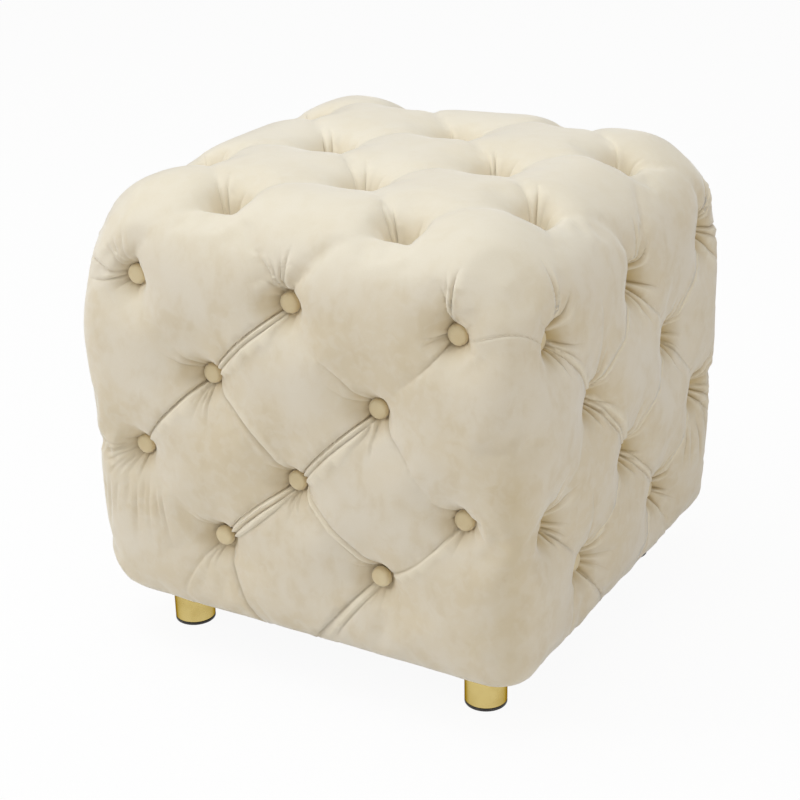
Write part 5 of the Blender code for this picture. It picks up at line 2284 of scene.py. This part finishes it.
@dataclass
class DustCover:
    """Dark cloth under the base board, with its edge turned in and stapled."""

    cloth: DustCloth
    steel: ZincSteel
    thickness: float = 0.0005
    hem_width: float = 0.015
    hem_drop: float = 0.0006
    sag: float = 0.0008
    leg_room: float = 0.0008
    corner_start: float = 0.2270
    corner_share: float = 0.45
    step: float = 0.007
    hole_points: int = 48
    hole_gap: float = 0.4
    hole_share: float = 0.99
    cloth_ripple: Triple = (0.0, 30, 0.4)
    hem_ripple: Triple = (1.0, 40, 0.3)
    row_share: float = 0.72
    staples_per_side: int = 7
    staple_inset: float = 0.0115
    staple_width: float = 0.010
    staple_height: float = 0.004
    staple_radius: float = 0.00045

    def plate(self, places: Array, triangles: Array, level: Array) -> Shell:
        """Give flat triangles a thickness.

        Args:
            places: Flat places.
            triangles: Triangles that turn left.
            level: Height of the lower face at each place.

        Returns:
            Points, and faces that look out.
        """
        count = len(places)
        sheets = [np.column_stack([places, height]) for height in (level + self.thickness, level)]
        ways = np.concatenate([triangles[:, [0, 1]], triangles[:, [1, 2]], triangles[:, [2, 0]]])
        seen = {tuple(way) for way in ways.tolist()}
        rims = [(a, b) for a, b in seen if (b, a) not in seen]
        faces = triangles.tolist() + (triangles[:, ::-1] + count).tolist()
        faces += [[b, a, a + count, b + count] for a, b in sorted(rims)]
        return np.concatenate(sheets), faces

    def ripple(self, places: Array, layer: float, scale: float, share: float) -> Array:
        """Small waves of the cloth at flat places."""
        waves = np.array([noise.noise(Vector((x, y, layer)) * scale) for x, y in places])
        return waves * self.thickness * share

    def build(self) -> None:
        """Make the cloth, its hem and its staples."""
        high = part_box("dust_cover")[1]
        legs = [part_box(f"leg_{corner}") for corner in Legs.CORNERS]
        holes = np.array([[(a.x + b.x) / 2, (a.y + b.y) / 2] for a, b in legs])
        room = (legs[0][1].x - legs[0][0].x) / 2 + self.leg_room
        half = high.x
        material = self.cloth.material()
        lines = np.linspace(-half, half, round(2 * half / self.step) + 1)
        grid = np.stack(np.meshgrid(lines, lines, indexing="ij"), axis=-1).reshape(-1, 2)
        apart = lengths(grid[:, None] - holes[None]).min(1)
        angle = np.arange(self.hole_points) / self.hole_points * math.tau
        circles = [hole + room * np.column_stack([np.cos(angle), np.sin(angle)]) for hole in holes]
        places = np.concatenate([grid[apart > room + self.step * self.hole_gap], *circles])
        triangles = triangulate(places)
        middle = places[triangles].mean(1)
        kept = lengths(middle[:, None] - holes[None]).min(1) > room * self.hole_share
        inward = np.clip(1 - (places / half) ** 2, 0, 1).prod(1)
        sag = self.sag + self.ripple(places, *self.cloth_ripple)
        level = high.z - self.thickness - sag * eased(inward * 2)
        stock = MeshStock()
        places = drawn_corners(places, self.corner_start, self.corner_share)
        stock.add(*self.plate(places, triangles[kept], level))
        cloth = stock.piece("dust_cover_cloth", material, "dust_cloth", ["dust_cover"], sharp=False)
        hem = self.hem(half, high.z - self.thickness - self.hem_drop, material, holes, room)
        staples = self.staples(half - self.staple_inset, high.z - self.thickness - self.hem_drop)

    def hem(self, half: float, level: float, material: Material, holes: Array, room: float) -> Piece:
        """Turn the cloth's edge in under itself, clear of the legs.

        Args:
            half: Half the cloth's width.
            level: Height of the hem's lower face.
            material: The cloth's material.
            holes: Middles of the holes for the legs.
            room: Radius of the holes.

        Returns:
            The hem.
        """
        lines = np.linspace(-half, half, round(2 * half / self.step) + 1)
        inner = half - self.hem_width
        lines = np.unique(np.concatenate([lines, [-inner, inner]]).round(6))
        grid = np.stack(np.meshgrid(lines, lines, indexing="ij"), axis=-1).reshape(-1, 2)
        places = grid[np.abs(grid).max(1) > inner - WELD]
        triangles = triangulate(places)
        kept = np.abs(places[triangles].mean(1)).max(1) > inner
        level = level + self.ripple(places, *self.hem_ripple)
        for hole in holes:
            apart = places - hole
            places = hole + unit(apart) * np.maximum(lengths(apart), room)[:, None]
        places = drawn_corners(places, self.corner_start, self.corner_share)
        stock = MeshStock()
        stock.add(*self.plate(places, triangles[kept], level))
        return stock.piece("dust_cover_hem", material, "dust_cloth", sharp=False)

    def staples(self, inset: float, level: float) -> Piece:
        """Drive staples through the hem into the base board.

        Args:
            inset: Distance of the staples from the middle.
            level: Height of the hem's lower face.

        Returns:
            The staples.
        """
        stock = MeshStock()
        half, bend = self.staple_width / 2, self.staple_radius * 2
        shape = np.array([(-half, 0, self.staple_height), (-half, 0, bend), (-half + bend, 0, 0), (0, 0, 0),
                          (half - bend, 0, 0), (half, 0, bend), (half, 0, self.staple_height)])
        for side in Side:
            for place in np.linspace(-inset * self.row_share, inset * self.row_share, self.staples_per_side):
                path = (shape[:, :1] + place) * side.across + inset * side.outward
                path[:, 2] = shape[:, 2] + level - self.staple_radius
                stock.add(*swept(path, self.staple_radius))
        return stock.piece("dust_cover_staples", self.steel.material(), "zinc_steel")


@dataclass(frozen=True)
class Lamp:
    """A soft square lamp that looks at the stool."""

    name: str
    place: Triple
    size: float
    power: float
    colour: Colour = (1.0, 1.0, 1.0)


@dataclass
class Studio:
    """Camera, lamps, floor and a white surround."""

    yaw: float = -0.5294
    pitch: float = 0.411
    roll: float = -0.0202
    place: Triple = (0.7333, -1.2795, 0.825)
    lens: float = 82.57
    sensor: float = 36.0
    aim: Triple = (0.0, 0.0, 0.2)
    ambient: float = 0.44
    ambient_colour: Colour = (1.0, 0.965, 0.91)
    floor_size: float = 6.0
    floor_gap: float = 0.0001
    floor_colour: float = 0.86
    floor_glow: float = 0.94
    lamps: tuple[Lamp, ...] = (Lamp("overhead", (-0.5, -0.3, 2.6), 2.0, 36.5, (0.85, 0.93, 1.0)),
                               Lamp("key", (-2.6, -2.0, 1.9), 1.0, 29.0, (1.0, 0.975, 0.94)),
                               Lamp("right", (2.6, -0.8, 1.4), 1.8, 11.5, (1.0, 0.975, 0.94)))

    def set_camera(self) -> None:
        """Place the camera at the photograph's viewing angle."""
        ahead = Vector((math.sin(self.yaw) * math.cos(self.pitch), math.cos(self.yaw) * math.cos(self.pitch),
                        -math.sin(self.pitch)))
        level = Vector((math.cos(self.yaw), -math.sin(self.yaw), 0))
        above = level.cross(ahead)
        right = math.cos(self.roll) * level + math.sin(self.roll) * above
        up = math.cos(self.roll) * above - math.sin(self.roll) * level
        camera = shown("camera", bpy.data.cameras.new("camera"))
        camera.data.lens = self.lens
        camera.data.sensor_width = self.sensor
        turn = Matrix((right, up, -ahead)).transposed().to_4x4()
        camera.matrix_world = Matrix.Translation(self.place) @ turn
        bpy.context.scene.camera = camera

    def hang(self, lamp: Lamp) -> None:
        """Add a lamp.

        Args:
            lamp: The lamp.
        """
        light = shown(lamp.name, bpy.data.lights.new(lamp.name, "AREA"))
        light.data.size = lamp.size
        light.data.energy = lamp.power
        light.data.color = lamp.colour
        light.location = lamp.place
        aim = Vector(self.aim) - Vector(lamp.place)
        light.rotation_euler = aim.to_track_quat("-Z", "Y").to_euler()

    def lay_floor(self) -> None:
        """Add a pale floor that looks white and keeps a soft shadow."""
        bm = bmesh.new()
        bmesh.ops.create_grid(bm, x_segments=1, y_segments=1, size=self.floor_size)
        mesh = bpy.data.meshes.new("floor")
        bm.to_mesh(mesh)
        bm.free()
        floor = shown("floor", mesh)
        floor.location.z = -self.floor_gap
        box = Paintbox("floor")
        box.finish({"Base Color": (self.floor_colour,) * 3 + (1.0,), "Roughness": 0.9,
                    "Specular IOR Level": 0.0})
        glow = box.add("ShaderNodeEmission", {"Color": (1, 1, 1, 1), "Strength": 1.0})
        share = box.reckon("MULTIPLY", box.seen_directly(), self.floor_glow)
        box.show("Material Output", share, box.shader.outputs[0], glow.outputs[0])
        mesh.materials.append(box.material)

    def surround(self) -> None:
        """Set a white world that lights the stool less than it shows."""
        world = bpy.data.worlds.new("studio")
        bpy.context.scene.world = world
        world.use_nodes = True
        bench = NodeBench(world.node_tree)
        light = bench.tree.nodes["Background"]
        bench.fill(light, {"Color": (*self.ambient_colour, 1), "Strength": self.ambient})
        seen = bench.add("ShaderNodeBackground", {"Color": (1, 1, 1, 1)})
        bench.show("World Output", bench.seen_directly(), light.outputs[0], seen.outputs[0])

    def build(self) -> None:
        """Set up the camera, the floor, the lamps and the world."""
        self.set_camera()
        self.lay_floor()
        for lamp in self.lamps:
            self.hang(lamp)
        self.surround()
        bpy.context.scene.view_settings.view_transform = "Standard"


def main() -> None:
    """Build the stool, its finishes and the studio."""
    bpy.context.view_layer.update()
    lattice = Lattice.from_frame()
    block = Block.from_frame(lattice)
    cover = TuftedCover(lattice, block, Velvet())
    cover.build()
    cover.stitch()
    ButtonRows(lattice, BUTTON_VELVET, TWINE).build()
    FoamSlabs(lattice, FoamRubber()).build()
    Legs(GoldMetal(), MouldedPlastic()).build()
    Carcass().build()
    DustCover(DustCloth(), ZincSteel()).build()
    Studio().build()


if __name__ == "__main__":
    logging.basicConfig(level=logging.INFO, format="%(name)s: %(message)s")
    main()
